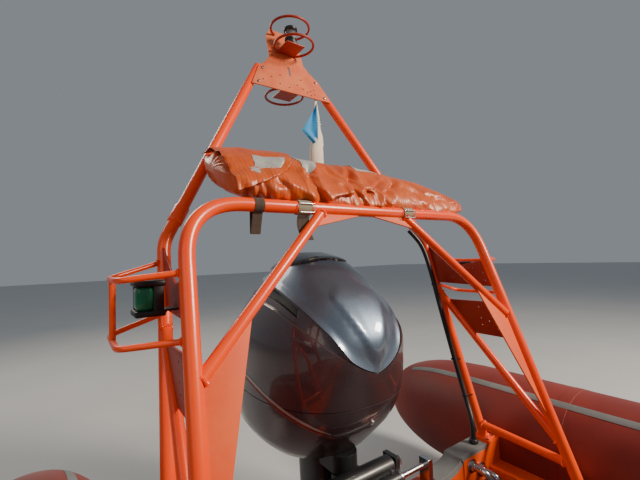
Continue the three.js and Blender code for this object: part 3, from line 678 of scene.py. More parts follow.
# A flat band of webbing or tape along a path, wide along the given direction.
def addBand(bm, path, wide, thick, material=0):
    before = set(bm.faces)
    wide = Vector(wide)
    first = [bm.verts.new(Vector(path[0]) + wide * s) for s in (-0.5, 0.5)]
    edge = bm.edges.new(first)
    for i in range(1, len(path)):
        grown = bmesh.ops.extrude_edge_only(bm, edges=[edge])["geom"]
        fresh = [g for g in grown if isinstance(g, bmesh.types.BMVert)]
        edge = next(g for g in grown if isinstance(g, bmesh.types.BMEdge) and set(g.verts) == set(fresh))
        bmesh.ops.translate(bm, verts=fresh, vec=Vector(path[i]) - Vector(path[i - 1]))
    strip = [f for f in bm.faces if f not in before]
    bmesh.ops.remove_doubles(bm, verts=list({v for f in strip for v in f.verts}), dist=0.00005)
    strip = [f for f in bm.faces if f not in before]
    bmesh.ops.recalc_face_normals(bm, faces=strip)
    bmesh.ops.solidify(bm, geom=strip, thickness=thick)
    paint(bm, before, material)


def ovalRing(centre, halfA, halfB, axisA, axisB, power, count):
    ring = []
    for i in range(count):
        t = 2 * math.pi * (i + 0.5) / count
        c, s = math.cos(t), math.sin(t)
        a = halfA * math.copysign(abs(c) ** (2 / power), c)
        b = halfB * math.copysign(abs(s) ** (2 / power), s)
        ring.append(Vector(centre) + Vector(axisA) * a + Vector(axisB) * b)
    return ring


# A solid of the frame, merged, joined into larger faces and bevelled.
def dressed(node, name, material, slotName, bevel):
    bm = bmesh.new()
    bm.from_mesh(nodes[node].data)
    bmesh.ops.remove_doubles(bm, verts=bm.verts, dist=0.0001)
    bmesh.ops.dissolve_limit(bm, angle_limit=math.radians(1), verts=bm.verts, edges=bm.edges)
    for face in bm.faces:
        face.material_index = 0
    piece = keep(name, bm, [material])
    edging(piece, bevel)
    fit(piece, nodes[node]["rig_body"], slotName, node)


def smoothStep(low, high, value):
    t = min(max((value - low) / (high - low), 0), 1)
    return t * t * (3 - 2 * t)


# A value read off a short table of rows, eased smoothly from row to row.
def readTable(rows, at):
    for i in range(len(rows) - 1):
        if at <= rows[i + 1][0] or i == len(rows) - 2:
            break
    a, b = rows[max(i - 1, 0)], rows[i]
    c, d = rows[i + 1], rows[min(i + 2, len(rows) - 1)]
    t = min(max((at - b[0]) / (c[0] - b[0]), 0), 1)
    values = []
    for k in range(1, len(b)):
        slopeB = (c[k] - a[k]) / (c[0] - a[0]) * (c[0] - b[0])
        slopeC = (d[k] - b[k]) / (d[0] - b[0]) * (c[0] - b[0])
        values.append(
            (2 * t**3 - 3 * t**2 + 1) * b[k]
            + (t**3 - 2 * t**2 + t) * slopeB
            + (3 * t**2 - 2 * t**3) * c[k]
            + (t**3 - t**2) * slopeC
        )
    return values


# The frame's main lines, starboard side, from the same sizes as its solids.
hoopFoot = Vector((0.702, transomY + 0.434, 0.3703))
hoopTop = Vector((0.648, transomY + 0.046, 1.5))
mastFoot = Vector((0.691, transomY + 0.03, 0.4703))
shoulder = Vector((0.647, transomY - 0.226, 1.403))
apex = Vector((0.211, transomY - 0.473, 2.173))

frameSizes = {
    "pipe": 0.0424,
    "brace": 0.034,
    "hoopBend": 0.18,
    "mastBend": 0.16,
    "mastTop": 2.265,
    "crossbarZ": 1.7,
    "footX": 0.034,
    "footY": 0.038,
    "footThick": 0.008,
    "bolt": 0.012,
    "boltIn": 0.009,  # from the foot's edges
    "sleeveZ": 1.5,  # where a clamped sleeve joins the upright to the leaning top
    "sleeve": 0.07,
}


def between(a, b, z):
    return a.lerp(b, (z - a.z) / (b.z - a.z))


def onHoop(z):
    return between(hoopFoot, hoopTop, z)


def onMast(z):
    return between(mastFoot, shoulder, z)


def onUpper(z):
    return between(shoulder, apex, z)


def mirrored(p, side):
    return Vector((p[0] * side, p[1], p[2]))


def addFoot(bm, at, side):
    halfX, halfY = frameSizes["footX"], frameSizes["footY"]
    top = at.z + frameSizes["footThick"]
    x = at.x * side
    addBox(bm, (x - halfX, at.y - halfY, at.z), (x + halfX, at.y + halfY, top), 0.0015)
    for dx in (-1, 1):
        for dy in (-1, 1):
            inset = frameSizes["boltIn"]
            bolt = Vector((x + dx * (halfX - inset), at.y + dy * (halfY - inset), top + 0.003))
            addDrum(bm, bolt, (0, 0, 1), frameSizes["bolt"], 0.006, 0.001, 6, material=1)
    addWeld(bm, (x, at.y, top), (0, 0, 1), frameSizes["pipe"])


def buildHoop():
    bm = bmesh.new()
    start = hoopFoot + Vector((0, 0, 0.004))
    corners = [mirrored(p, s) for p, s in ((start, 1), (hoopTop, 1), (hoopTop, -1), (start, -1))]
    addPipe(bm, roundBend(corners, frameSizes["hoopBend"], 14), frameSizes["pipe"], 28)
    for side in sides.values():
        addFoot(bm, hoopFoot, side)
    fit(keep("guardHoop", bm, [frameEnamel, stainless], 50), "boat", "frame_paint", "guard_hoop")


def buildMast():
    for name, side in sides.items():
        bm = bmesh.new()
        start = mastFoot + Vector((0, 0, 0.004))
        corners = [mirrored(p, side) for p in (start, shoulder, onUpper(frameSizes["mastTop"]))]
        addPipe(bm, roundBend(corners, frameSizes["mastBend"], 12), frameSizes["pipe"], 28)
        addFoot(bm, mastFoot, side)
        at, up = mirrored(onUpper(frameSizes["sleeveZ"]), side), mirrored(apex - shoulder, side)
        addDrum(bm, at, up.normalized(), frameSizes["pipe"] + 0.008, frameSizes["sleeve"], 0.0015)
        leg = keep("mastLeg_" + name, bm, [frameEnamel, stainless], 50)
        fit(leg, "boat", "frame_paint", "mast_leg_" + name)
    bm = bmesh.new()
    ends = [mirrored(onUpper(frameSizes["crossbarZ"]), s) for s in (-1, 1)]
    reach = Vector((frameSizes["pipe"] / 2 - 0.003, 0, 0))
    ends = [ends[0] + reach, ends[1] - reach]
    addPipe(bm, ends, frameSizes["brace"], 24)
    for end in ends:
        addWeld(bm, end, (1, 0, 0), frameSizes["brace"])
    fit(keep("mastCrossbar", bm, [frameEnamel], 50), "boat", "frame_paint", "mast_crossbar")


# Outlines of the gussets as [across, z], in the plane of the hoop.
gussets = {
    "upper": [(0.180, 1.5), (0.040, 1.5), (0.040, 1.478), (0.232, 1.437), (0.262, 1.424)],
    "lower": [(0.500, 1.203), (0.690, 0.600), (0.674, 1.046)],
    "thick": 0.006,
    "braceTop": 0.186,
    "braceLow": 1.048,
    "fishMouth": 0.024,
}
hoopUp = Vector((0, hoopTop.y - hoopFoot.y, hoopTop.z - hoopFoot.z)).normalized()
hoopFacing = hoopUp.cross(Vector((1, 0, 0))).normalized()


def onHoopPlane(x, z):
    return Vector((x, hoopTop.y, hoopTop.z)) + hoopUp * ((z - hoopTop.z) / hoopUp.z)


def buildBraces():
    for name, side in sides.items():
        bm = bmesh.new()
        top = Vector((gussets["braceTop"] * side, hoopTop.y, hoopTop.z))
        low = mirrored(onHoop(gussets["braceLow"]), side)
        along = (low - top).normalized()
        ends = [top + along * gussets["fishMouth"], low - along * gussets["fishMouth"]]
        addPipe(bm, ends, frameSizes["brace"], 24)
        for end in ends:
            addWeld(bm, end, along, frameSizes["brace"], 0.009)
        fit(keep("hoopBrace_" + name, bm, [frameEnamel], 50), "boat", "frame_paint", "hoop_brace_" + name)
        bm = bmesh.new()
        back = hoopFacing * gussets["thick"] / 2
        for key in ("upper", "lower"):
            outline = [onHoopPlane(x * side, z) - back for x, z in gussets[key]]
            addPlate(bm, outline, hoopFacing, gussets["thick"])
        fit(keep("braceGussets_" + name, bm, [plateEnamel], 30), "boat", "frame_paint")


# Side plates as [from the transom, z], with the holes drilled in them.
sidePlates = {
    "upper": [(-0.212, 1.392), (-0.03, 1.275), (0.124, 1.3), (0.17, 1.178), (-0.165, 1.19)],
    "upperX": 0.650,
    "upperHoles": [
        (-0.02, 1.255), (0.03, 1.235), (-0.06, 1.215), (0.05, 1.262), (0.1, 1.24), (0.11, 1.205),
    ],
    "lower": [(-0.125, 1.105), (0.198, 1.108), (0.248, 0.955), (0.02, 0.957)],
    "lowerX": 0.664,
    "lowerHoles": [(0.06, 1.08), (0.07, 1.03), (0.11, 1.02), (0.075, 1.0), (0.15, 0.99), (0.2, 1.06)],
    "thick": 0.006,
    "hole": 0.0065,
}


def cutAway(piece, cutter):
    cutting = piece.modifiers.new("cutting", "BOOLEAN")
    cutting.object = cutter
    cutting.solver = "EXACT"
    applyModifiers(piece)
    bpy.data.objects.remove(cutter)
    piece.data.shade_smooth()
    piece.data.set_sharp_from_angle(angle=math.radians(30))


def buildSidePlates():
    for name, side in sides.items():
        for key in ("upper", "lower"):
            x, thick = sidePlates[key + "X"], sidePlates["thick"]
            bm = bmesh.new()
            outline = [Vector((x * side, transomY + y, z)) for y, z in sidePlates[key]]
            addPlate(bm, outline, (side, 0, 0), thick)
            # the side plates take the enamel darkened to a painted shade
            piece = keep("sidePlate_" + key + "_" + name, bm, [shadedEnamel], 30)
            bm = bmesh.new()
            for y, z in sidePlates[key + "Holes"]:
                at = ((x + thick / 2) * side, transomY + y, z)
                addDrum(bm, at, (1, 0, 0), sidePlates["hole"], thick * 3, 0, 16)
            cutAway(piece, keep("drill", bm, []))
            fit(piece, "boat", "frame_paint", "side_plate_" + key + "_" + name)


# Rails as [node, height on the hoop, height on the mast], and where their pipes and welds start.
rails = {
    "sideBrace_": ("side_brace_", 0.56, 1.15),
    "footRail_": ("foot_rail_", 0.5, 0.53),
    "pipeFrom": 0.012,
    "weldFrom": 0.022,
}


def buildSideRails():
    for name, side in sides.items():
        for key in ("sideBrace_", "footRail_"):
            node, hoopZ, mastZ = rails[key]
            bm = bmesh.new()
            low, high = mirrored(onHoop(hoopZ), side), mirrored(onMast(mastZ), side)
            along = (high - low).normalized()
            ends = [low + along * rails["pipeFrom"], high - along * rails["pipeFrom"]]
            addPipe(bm, ends, frameSizes["brace"], 24)
            for weld in (low + along * rails["weldFrom"], high - along * rails["weldFrom"]):
                addWeld(bm, weld, along, frameSizes["brace"])
            fit(keep(key + name, bm, [frameEnamel], 50), "boat", "frame_paint", node + name)


# Two loops of bent rod guard each side light, with a link between them.
lightLoops = {
    "out": 0.81,
    "wire": 0.016,
    "levels": (1.31, 1.15),
    "fore": 0.07,
    "aft": -0.15,
    "sag": 0.015,  # the loop's outer run is this much below its end on the hoop
    "mastUp": 0.03,
    "bend": 0.045,
    "linkY": -0.04,
    "weldFrom": 0.022,
}


def buildLightLoops():
    look = lightLoops
    out = look["out"]
    for name, side in sides.items():
        bm = bmesh.new()
        for z in look["levels"]:
            fore = (out, transomY + look["fore"], z - look["sag"])
            aft = (out, transomY + look["aft"], z - look["sag"])
            route = [onHoop(z), fore, aft, onMast(z + look["mastUp"])]
            points = roundBend([mirrored(p, side) for p in route], look["bend"], 8)
            addPipe(bm, points, look["wire"], 16)
            for end, on in ((points[0], points[1]), (points[-1], points[-2])):
                along = (on - end).normalized()
                addWeld(bm, end + along * look["weldFrom"], along, look["wire"], 0.006)
        link = [mirrored((out, transomY + look["linkY"], z - look["sag"]), side) for z in look["levels"]]
        addPipe(bm, link, look["wire"], 16)
        fit(keep("lightLoop_" + name, bm, [frameEnamel], 50), "boat", "frame_paint", "light_loop_" + name)


# Side lights as blocks: [x from and to, y from the transom from and to, z from and to, rounding, material].
sideLight = [
    (0.6563, 0.70, -0.055, 0.005, 1.205, 1.211, 0.001, 0),  # bracket arm
    (0.69, 0.765, -0.07, 0.02, 1.195, 1.211, 0.005, 0),  # bottom cap
    (0.69, 0.765, -0.07, 0.02, 1.274, 1.29, 0.005, 0),  # top cap
    (0.694, 0.72, -0.067, 0.016, 1.205, 1.28, 0.003, 0),  # inboard wall
    (0.70, 0.759, -0.067, -0.045, 1.205, 1.28, 0.003, 0),  # after wall
    (0.716, 0.761, -0.05, 0.016, 1.209, 1.276, 0.014, 1),  # fluted lens
]


def buildSideLights():
    for name, side in sides.items():
        bm = bmesh.new()
        for x0, x1, y0, y1, z0, z1, bevel, material in sideLight:
            near, far = sorted((x0 * side, x1 * side))
            addBox(bm, (near, transomY + y0, z0), (far, transomY + y1, z1), bevel, 3, material)
        light = keep("sideLight_" + name, bm, [blackAbs, greenLens if side > 0 else redLens], 50)
        fit(light, "boat", "black_plastic", "side_light_" + name)


buildHoop()
buildMast()
buildBraces()
buildSidePlates()
buildSideRails()
buildLightLoops()
buildSideLights()
print("welded frame built")


# The apex plate leans with the mast's legs, on their forward side.
lean = Vector((0, apex.y - shoulder.y, apex.z - shoulder.z)).normalized()
outward = Vector((0, lean.z, -lean.y))


def onPlate(x, up, off):
    return Vector((x, apex.y, apex.z)) + lean * up + outward * off


apexSizes = {
    "half": [(0.222, -0.038), (0.170, 0.078), (0.122, 0.125), (0.098, 0.165), (0.094, 0.3), (0.066, 0.35)],
    "back": 0.0215,
    "thick": 0.006,
    "slot": (0.0, 0.095, 0.012, 0.055),
    "holes": [
        (-0.128, -0.012), (-0.105, 0.002), (-0.082, -0.012), (-0.105, -0.024), (-0.128, 0.016),
        (-0.06, 0.004), (0.16, 0.0), (0.11, 0.03), (0.06, 0.055), (-0.03, 0.02), (0.02, -0.01),
        (-0.06, 0.06), (0.07, 0.0),
    ],
    "hole": 0.008,
    "bolts": [(0.185, -0.02), (-0.185, -0.02), (0.15, 0.07), (-0.15, 0.07)],
}
# The lamps and their guard rings; "up" is the place along the plate.
lampSizes = {
    "upperUp": 0.318,
    "lowerUp": 0.205,
    "aftUp": -0.014,
    "allRoundY": 0.058,
    "sternY": -0.062,
    "ringRadius": 0.095,
    "ringArc": 304,  # open where it is welded to the plate
    "ringWire": 0.012,
    "ringOut": 0.087,
    "shelfHalf": 0.05,
    "shelfThick": 0.006,
    # [radius, up] from the base to the cap
    "profile": [
        (0.038, 0.0), (0.038, 0.016), (0.030, 0.020), (0.030, 0.030), (0.0275, 0.032), (0.0275, 0.036),
        (0.030, 0.038), (0.030, 0.046), (0.026, 0.048), (0.026, 0.078), (0.030, 0.080), (0.034, 0.086),
        (0.033, 0.098), (0.026, 0.104), (0.010, 0.106),
    ],
    "lensFrom": 0.047,
    "lensTo": 0.079,
    "screwRadius": 0.033,
    "screwZ": 0.017,
}


def buildApexPlate():
    a = apexSizes
    bm = bmesh.new()
    right = [onPlate(x, up, a["back"]) for x, up in a["half"]]
    left = [onPlate(-x, up, a["back"]) for x, up in reversed(a["half"])]
    addPlate(bm, right + left, outward, a["thick"])
    piece = keep("apexPlate", bm, [fadedEnamel], 30)
    bm = bmesh.new()
    stand = Matrix((Vector((1, 0, 0)), lean, outward)).transposed().to_4x4()
    for x, up in a["holes"]:
        addDrum(bm, onPlate(x, up, a["back"]), outward, a["hole"], a["thick"] * 4, 0, 16)
    x, up, halfX, halfUp = a["slot"]
    turn = Matrix.Translation(onPlate(x, up, a["back"])) @ stand
    addBox(bm, (-halfX / 2, -halfUp / 2, -0.02), (halfX / 2, halfUp / 2, 0.02), 0.0, turn=turn)
    cutAway(piece, keep("drill", bm, []))
    fit(piece, "boat", "frame_paint", "apex_plate")
    bm = bmesh.new()
    for x, up in a["bolts"]:
        addDrum(bm, onPlate(x, up, a["back"] + a["thick"] + 0.003), outward, 0.014, 0.006, 0.001, 6)
    fit(keep("apexBolts", bm, [stainless]), "boat", "frame_paint")


# A turned shape from its profile, with the lens material between two heights.
def addLathe(bm, profile, base, scale, segments, lens):
    before = set(bm.faces)
    points = [base] + [base + Vector((r, 0, z * scale)) for r, z in profile]
    points.append(base + Vector((0, 0, profile[-1][1] * scale)))
    verts = [bm.verts.new(p) for p in points]
    edges = [bm.edges.new(pair) for pair in zip(verts, verts[1:])]
    bmesh.ops.spin(
        bm, geom=verts + edges, cent=base, axis=(0, 0, 1), angle=2 * math.pi, steps=segments, use_merge=True
    )
    made = [f for f in bm.faces if f not in before]
    bmesh.ops.remove_doubles(bm, verts=list({v for f in made for v in f.verts}), dist=0.00002)
    for face in bm.faces:
        up = (face.calc_center_median().z - base.z) / scale
        if face not in before and lens[0] < up < lens[1]:
            face.material_index = 1


def buildLampTower():
    s = lampSizes
    face = apexSizes["back"] + apexSizes["thick"]
    out = Vector((0, s["ringOut"], 0))
    middle = onPlate(0, s["lowerUp"], face)
    rear = onPlate(0, s["aftUp"], apexSizes["back"])
    half, thick = s["shelfHalf"], s["shelfThick"] / 2
    # [key, ring's middle, way it faces, degrees where it starts, shelf's y from and to, or none]
    towers = (
        ("upper", onPlate(0, s["upperUp"], face) + out, 1, -62, None),
        ("lower", middle + out, 1, -62, (middle, 0.0, 0.11)),
        ("aft", rear - out, -1, 118, (rear, -0.12, -0.002)),
    )
    for key, centre, reach, start, shelf in towers:
        bm = bmesh.new()
        points = []
        for k in range(37):
            angle = math.radians(start + s["ringArc"] * k / 36)
            points.append(centre + Vector((math.cos(angle), math.sin(angle), 0)) * s["ringRadius"])
        keepOff = face if reach > 0 else -apexSizes["back"]
        points = [p for p in points if (p - apex).dot(outward) * reach > keepOff]
        addPipe(bm, points, s["ringWire"], 14)
        if shelf:
            at, y0, y1 = shelf
            addBox(bm, (-half, at.y + y0, at.z - thick), (half, at.y + y1, at.z + thick), 0.0015)
        # the guard rings take the enamel darkened to a painted shade
        fit(keep("lampRing_" + key, bm, [shadedEnamel], 50), "boat", "frame_paint", "lamp_ring_" + key)
    lens = (s["lensFrom"], s["lensTo"])
    for name, node, base, scale in (
        ("allRoundLight", "all_round_light", middle + Vector((0, s["allRoundY"], thick)), 1.0),
        ("sternLight", "stern_light", rear + Vector((0, s["sternY"], thick)), 0.75),
    ):
        bm = bmesh.new()
        addLathe(bm, s["profile"], base, scale, 36, lens)
        for turn in range(3):
            angle = 2 * math.pi * turn / 3
            reach = Vector((math.cos(angle), math.sin(angle), 0)) * s["screwRadius"]
            screw = base + reach + Vector((0, 0, s["screwZ"] * scale))
            addDrum(bm, screw, (0, 0, 1), 0.006, 0.003, 0.0005, 12)
        fit(keep(name, bm, [blackAbs, clearLens], 40), "boat", "black_plastic", node)


buildApexPlate()
buildLampTower()
print("apex plate and lamps built")


# Righting bag: [x, y from the transom, z, half depth, half height], from port to starboard.
bagRows = [
    (-0.655, -0.052, 1.578, 0.030, 0.010),
    (-0.640, -0.058, 1.580, 0.075, 0.024),
    (-0.590, -0.075, 1.586, 0.118, 0.038),
    (-0.490, -0.105, 1.599, 0.160, 0.050),
    (-0.360, -0.130, 1.611, 0.188, 0.057),
    (-0.150, -0.140, 1.622, 0.198, 0.062),
    (0.060, -0.140, 1.626, 0.200, 0.064),
    (0.250, -0.140, 1.632, 0.200, 0.068),
    (0.430, -0.150, 1.640, 0.182, 0.063),
    (0.470, -0.156, 1.646, 0.158, 0.055),
    (0.492, -0.161, 1.651, 0.118, 0.040),
    (0.505, -0.165, 1.655, 0.050, 0.016),
]
bagLook = {
    "slope": 0.42,
    "rings": 96,
    "around": 96,
    "tufts": [0.40, 0.285, 0.15, 0.02, -0.075, -0.20, -0.36, -0.52],  # where gathers hold the front edge
    "tuftReach": 0.022,
    "grow": -0.03,  # the cloth is cut this much larger than the form it fills
    "pressure": 1.2,
    "frames": 22,
    "most": 0.024,  # how far the cloth may move
    "shoulder": 0.28,  # of a fold's height, on both sides of it
    "crumple": 0.0035,
    "fineCrumple": 0.0008,
    "gathers": 11,  # pleats round each end
    "gatherHigh": 0.009,
    "gatherLow": 0.004,
    "corner": 0.83,  # how square the section is
}
# Folds: [height (a valley is negative), half width, points as x and degrees round the section]
bagFolds = [
    (0.014, 0.040, [(-0.04, 84), (-0.12, 82), (-0.2, 84)]),
    (-0.012, 0.040, [(0.15, 96), (0.05, 92)]),
    (0.009, 0.013, [(0.39, 42), (0.302, 17), (0.265, 4), (0.228, -5), (0.188, -18)]),
    (-0.034, 0.013, [(0.190, 72), (0.206, 56), (0.221, 33), (0.215, 8), (0.193, -12), (0.188, -32)]),
    (0.009, 0.011, [(0.185, -14), (0.154, 4), (0.088, 17), (0.032, 32)]),
    (-0.016, 0.012, [(0.17, -24), (0.13, -10), (0.08, 0), (0.045, 8)]),
    (-0.036, 0.014, [(-0.03, 92), (-0.013, 76), (0.021, 52), (0.038, 15), (0.003, -8)]),
    (0.012, 0.008, [(0.003, 32), (-0.04, 38), (-0.074, 33), (-0.084, 14), (-0.069, -5), (-0.03, -10)]),
    (0.010, 0.008, [(-0.03, -10), (-0.006, -5), (0.018, 8), (0.016, 24), (0.003, 32)]),
    (-0.040, 0.020, [(-0.012, 12), (-0.045, 8)]),
    (0.008, 0.018, [(-0.215, 75), (-0.34, 60), (-0.48, 45), (-0.6, 25)]),
    (-0.012, 0.020, [(-0.24, 52), (-0.37, 34), (-0.52, 24)]),
    (-0.020, 0.011, [(-0.27, 92), (-0.173, 64), (-0.086, 36)]),
    (-0.024, 0.013, [(-0.287, 81), (-0.2, 50), (-0.133, 27), (-0.105, 1), (-0.108, -22)]),
    (-0.016, 0.012, [(0.14, 96), (0.115, 66), (0.075, 38)]),
    (-0.014, 0.013, [(-0.34, -18), (-0.38, 8), (-0.45, 20)]),
    (-0.010, 0.011, [(-0.48, -12), (-0.53, 10), (-0.57, 22)]),
    (-0.010, 0.010, [(0.30, -26), (0.325, 0), (0.345, 16)]),
    (-0.016, 0.008, [(0.488, 30), (0.478, 0), (0.46, -40)]),
    (-0.016, 0.009, [(0.462, 30), (0.448, -2), (0.435, -44)]),
    (-0.018, 0.010, [(0.436, 26), (0.42, -4), (0.402, -42)]),
    (-0.016, 0.010, [(0.405, 14), (0.392, -8), (0.372, -38)]),
    (-0.020, 0.014, [(0.37, 186), (0.31, 150), (0.22, 118)]),
    (-0.022, 0.014, [(0.12, 190), (0.06, 152), (0.0, 118)]),
    (-0.020, 0.013, [(0.02, 188), (-0.08, 160), (-0.2, 138)]),
    (-0.022, 0.014, [(-0.2, 186), (-0.26, 152), (-0.33, 116)]),
    (-0.016, 0.012, [(-0.43, 182), (-0.48, 152), (-0.52, 122)]),
]


def bagFrame(x):
    y, z, halfDepth, halfHeight = readTable(bagRows, x)
    return Vector((x, transomY + y, z)), halfDepth, halfHeight


# A point round the bag's section: 0 degrees is its front edge, 90 its top, 270 its underside.
def aroundBag(x, degrees, swell=1.0):
    centre, depth, height = bagFrame(x)
    c, s = math.cos(math.radians(degrees)), math.sin(math.radians(degrees))
    a = depth * math.copysign(abs(c) ** bagLook["corner"], c) * swell
    b = height * math.copysign(abs(s) ** bagLook["corner"], s) * swell
    return centre + Vector((0, a, b - a * bagLook["slope"]))


def buildBag():
    look = bagLook
    bm = bmesh.new()
    low, high = bagRows[0][0], bagRows[-1][0]
    rings = []
    for k in range(look["rings"] + 1):
        x = low + (high - low) * k / look["rings"]
        rings.append([aroundBag(x, 360 * i / look["around"]) for i in range(look["around"])])
    addSkin(bm, rings)
    piece = keep("rightingBag", bm, [bagPvc], 180)
    start = [v.co.copy() for v in piece.data.vertices]
    billow(piece, start)
    rounding(piece, 1)
    applyModifiers(piece)
    fold(piece)
    piece.data.shade_smooth()
    return fit(piece, "boat", "bag_fabric", "righting_bag")


# Presses the folds into the cloth, each with a soft shoulder on both sides, and crumples what is left.
def fold(piece):
    look = bagLook
    lines = []
    for height, half, corners in bagFolds:
        points = throughPoints([aroundBag(x, degrees) for x, degrees in corners], 8)
        tree = KDTree(len(points))
        for i, p in enumerate(points):
            tree.insert(p, i)
        tree.balance()
        lines.append((height, half, tree, len(points)))
    low, high = bagRows[0][0], bagRows[-1][0]
    for v in piece.data.vertices:
        centre, _, height = bagFrame(min(max(v.co.x, low), high))
        out = v.co - centre
        push = 0
        for rise, half, tree, count in lines:
            _, index, away = tree.find(v.co)
            if away > 4.5 * half + 0.03:
                continue
            end = min(index, count - 1 - index) / count
            strength = rise * smoothStep(-0.12, 0.2, end)
            push += strength * math.exp(-((away / half) ** 2))
            beside = (away - 2.3 * half) / (1.1 * half)
            push -= look["shoulder"] * strength * math.exp(-(beside**2))
        creased = abs(noise.noise(Vector((v.co.x * 15 + out.y * 10, out.y * 9, out.z * 12))))
        fine = noise.noise(Vector((v.co.x * 34, out.y * 40, out.z * 60)))
        push += look["fineCrumple"] * fine - look["crumple"] * creased
        gather = look["gatherHigh"] * smoothStep(0.42, 0.50, v.co.x)
        gather += look["gatherLow"] * smoothStep(-0.57, -0.64, v.co.x)
        push += gather * math.sin(look["gathers"] * math.atan2(out.z * 2.6, out.y) + 30 * v.co.x)
        thin = smoothStep(0.0, 0.05, height)
        v.co += (out + Vector((0, 0, out.z * 1.5))).normalized() * push * thin


# Cloth simulation: the bag swells, held along its underside, its ends and the gathers.
def billow(piece, start):
    look = bagLook
    group = piece.vertex_groups.new(name="held")
    for v, p in zip(piece.data.vertices, start):
        centre, depth, height = bagFrame(p.x)
        out = p - centre
        low = -(out.z + out.y * look["slope"]) / height
        under = smoothStep(0.3, 0.9, low) * smoothStep(0.3, -0.4, out.y / depth)
        gathered = any(abs(p.x - t) < look["tuftReach"] for t in look["tufts"])
        tuft = 1 if gathered and out.y / depth > 0.75 else 0
        ends = 1 if p.x < bagRows[0][0] + 0.04 or p.x > bagRows[-1][0] - 0.01 else 0
        weight = max(under, tuft, ends)
        if weight > 0.02:
            group.add([v.index], weight, "REPLACE")
    cloth = piece.modifiers.new("billow", "CLOTH")
    for key, value in (
        ("quality", 5), ("mass", 0.25), ("tension_stiffness", 25), ("compression_stiffness", 25),
        ("shear_stiffness", 8), ("bending_stiffness", 0.6), ("use_pressure", True),
        ("uniform_pressure_force", look["pressure"]), ("shrink_min", look["grow"]),
        ("shrink_max", look["grow"]), ("vertex_group_mass", "held"),
    ):
        setattr(cloth.settings, key, value)
    cloth.settings.effector_weights.gravity = 0
    cloth.point_cache.frame_end = look["frames"]
    for step in range(1, look["frames"] + 1):
        bpy.context.scene.frame_set(step)
    applyModifiers(piece)
    bpy.context.scene.frame_set(1)
    for v, p in zip(piece.data.vertices, start):
        moved = v.co - p
        if moved.length > look["most"]:
            v.co = p + moved.normalized() * look["most"]
    print("bag billowed")


bag = buildBag().data
bpy.context.view_layer.update()
bagTree = BVHTree.FromPolygons([v.co for v in bag.vertices], [list(p.vertices) for p in bag.polygons])


# A point on the finished bag, lifted off its cloth.
def onBag(x, degrees, lift):
    centre = bagFrame(x)[0]
    far = aroundBag(x, degrees, 2.5)
    hit = bagTree.ray_cast(far, centre - far)[0] or aroundBag(x, degrees)
    return hit + (far - hit).normalized() * lift


# Cloth laid on the bag: corners as [x, degrees round it], a grid of cells between them, and its starboard
# end free to hang where it has any curl.
def layOnBag(name, corners, material, lift, curl, thick, across, down):
    bm = bmesh.new()
    bmesh.ops.create_grid(bm, x_segments=across, y_segments=down, size=0.5)
    (x00, d00), (x10, d10), (x11, d11), (x01, d01) = corners
    for v in bm.verts:
        s, t = v.co.x + 0.5, v.co.y + 0.5
        x = (x00 * (1 - s) + x10 * s) * (1 - t) + (x01 * (1 - s) + x11 * s) * t
        d = (d00 * (1 - s) + d10 * s) * (1 - t) + (d01 * (1 - s) + d11 * s) * t
        wave = noise.noise(Vector((x * 18, d * 0.05, 3))) * min(lift, 0.007)
        free = smoothStep(0.32, 0.0, s)
        hang = Vector((5 * free, 2.4 * free * (1 - t), -2.6 * free * (1 - t)))
        v.co = onBag(x, d, lift + wave + curl * smoothStep(0.3, 0.0, min(s, 1 - s, t))) + hang * curl
    bmesh.ops.solidify(bm, geom=list(bm.faces), thickness=thick)
    return fit(keep(name, bm, [material], 60), "boat", "bag_fabric")


# The flap and the reflectors as [corners, how far they stand off the bag].
flapLook = {
    "corners": [(0.462, -8), (0.30, 54), (0.15, 128), (0.478, 142)],
    "flat": (0.27, 0.40),
    "lift": 0.007,
    "curl": 0.005,
    "thick": 0.0012,
}
reflectors = [
    ([(0.452, 18), (0.405, 30), (0.398, 52), (0.438, 44)], 0.0088),
    ([(0.412, 44), (0.318, 56), (0.29, 72), (0.40, 74)], 0.0088),
    ([(0.240, 60), (0.205, 54), (0.14, 80), (0.20, 96)], 0.0016),
    ([(-0.045, 78), (-0.20, 82), (-0.215, 93), (-0.045, 90)], 0.0016),
]


def buildBagCloths():
    look = flapLook
    flap = layOnBag("bagFlap", look["corners"], bagPvc, look["lift"], look["curl"], look["thick"], 30, 22)
    for i, (corners, lift) in enumerate(reflectors):
        layOnBag("reflector_%d" % i, corners, reflectiveTape, lift, 0, 0.0006, 12, 10)


# The two straps hold the bag to the hoop's bar: [x, has a loose end]. A narrow loop hangs beside them.
straps = {
    "starboard": (0.270, True),
    "port": (-0.215, False),
    "wide": 0.05,
    "thick": 0.0024,
    "tail": 0.085,
    "loopX": 0.432,
    "loopWide": 0.032,
    "loopThick": 0.0022,
}


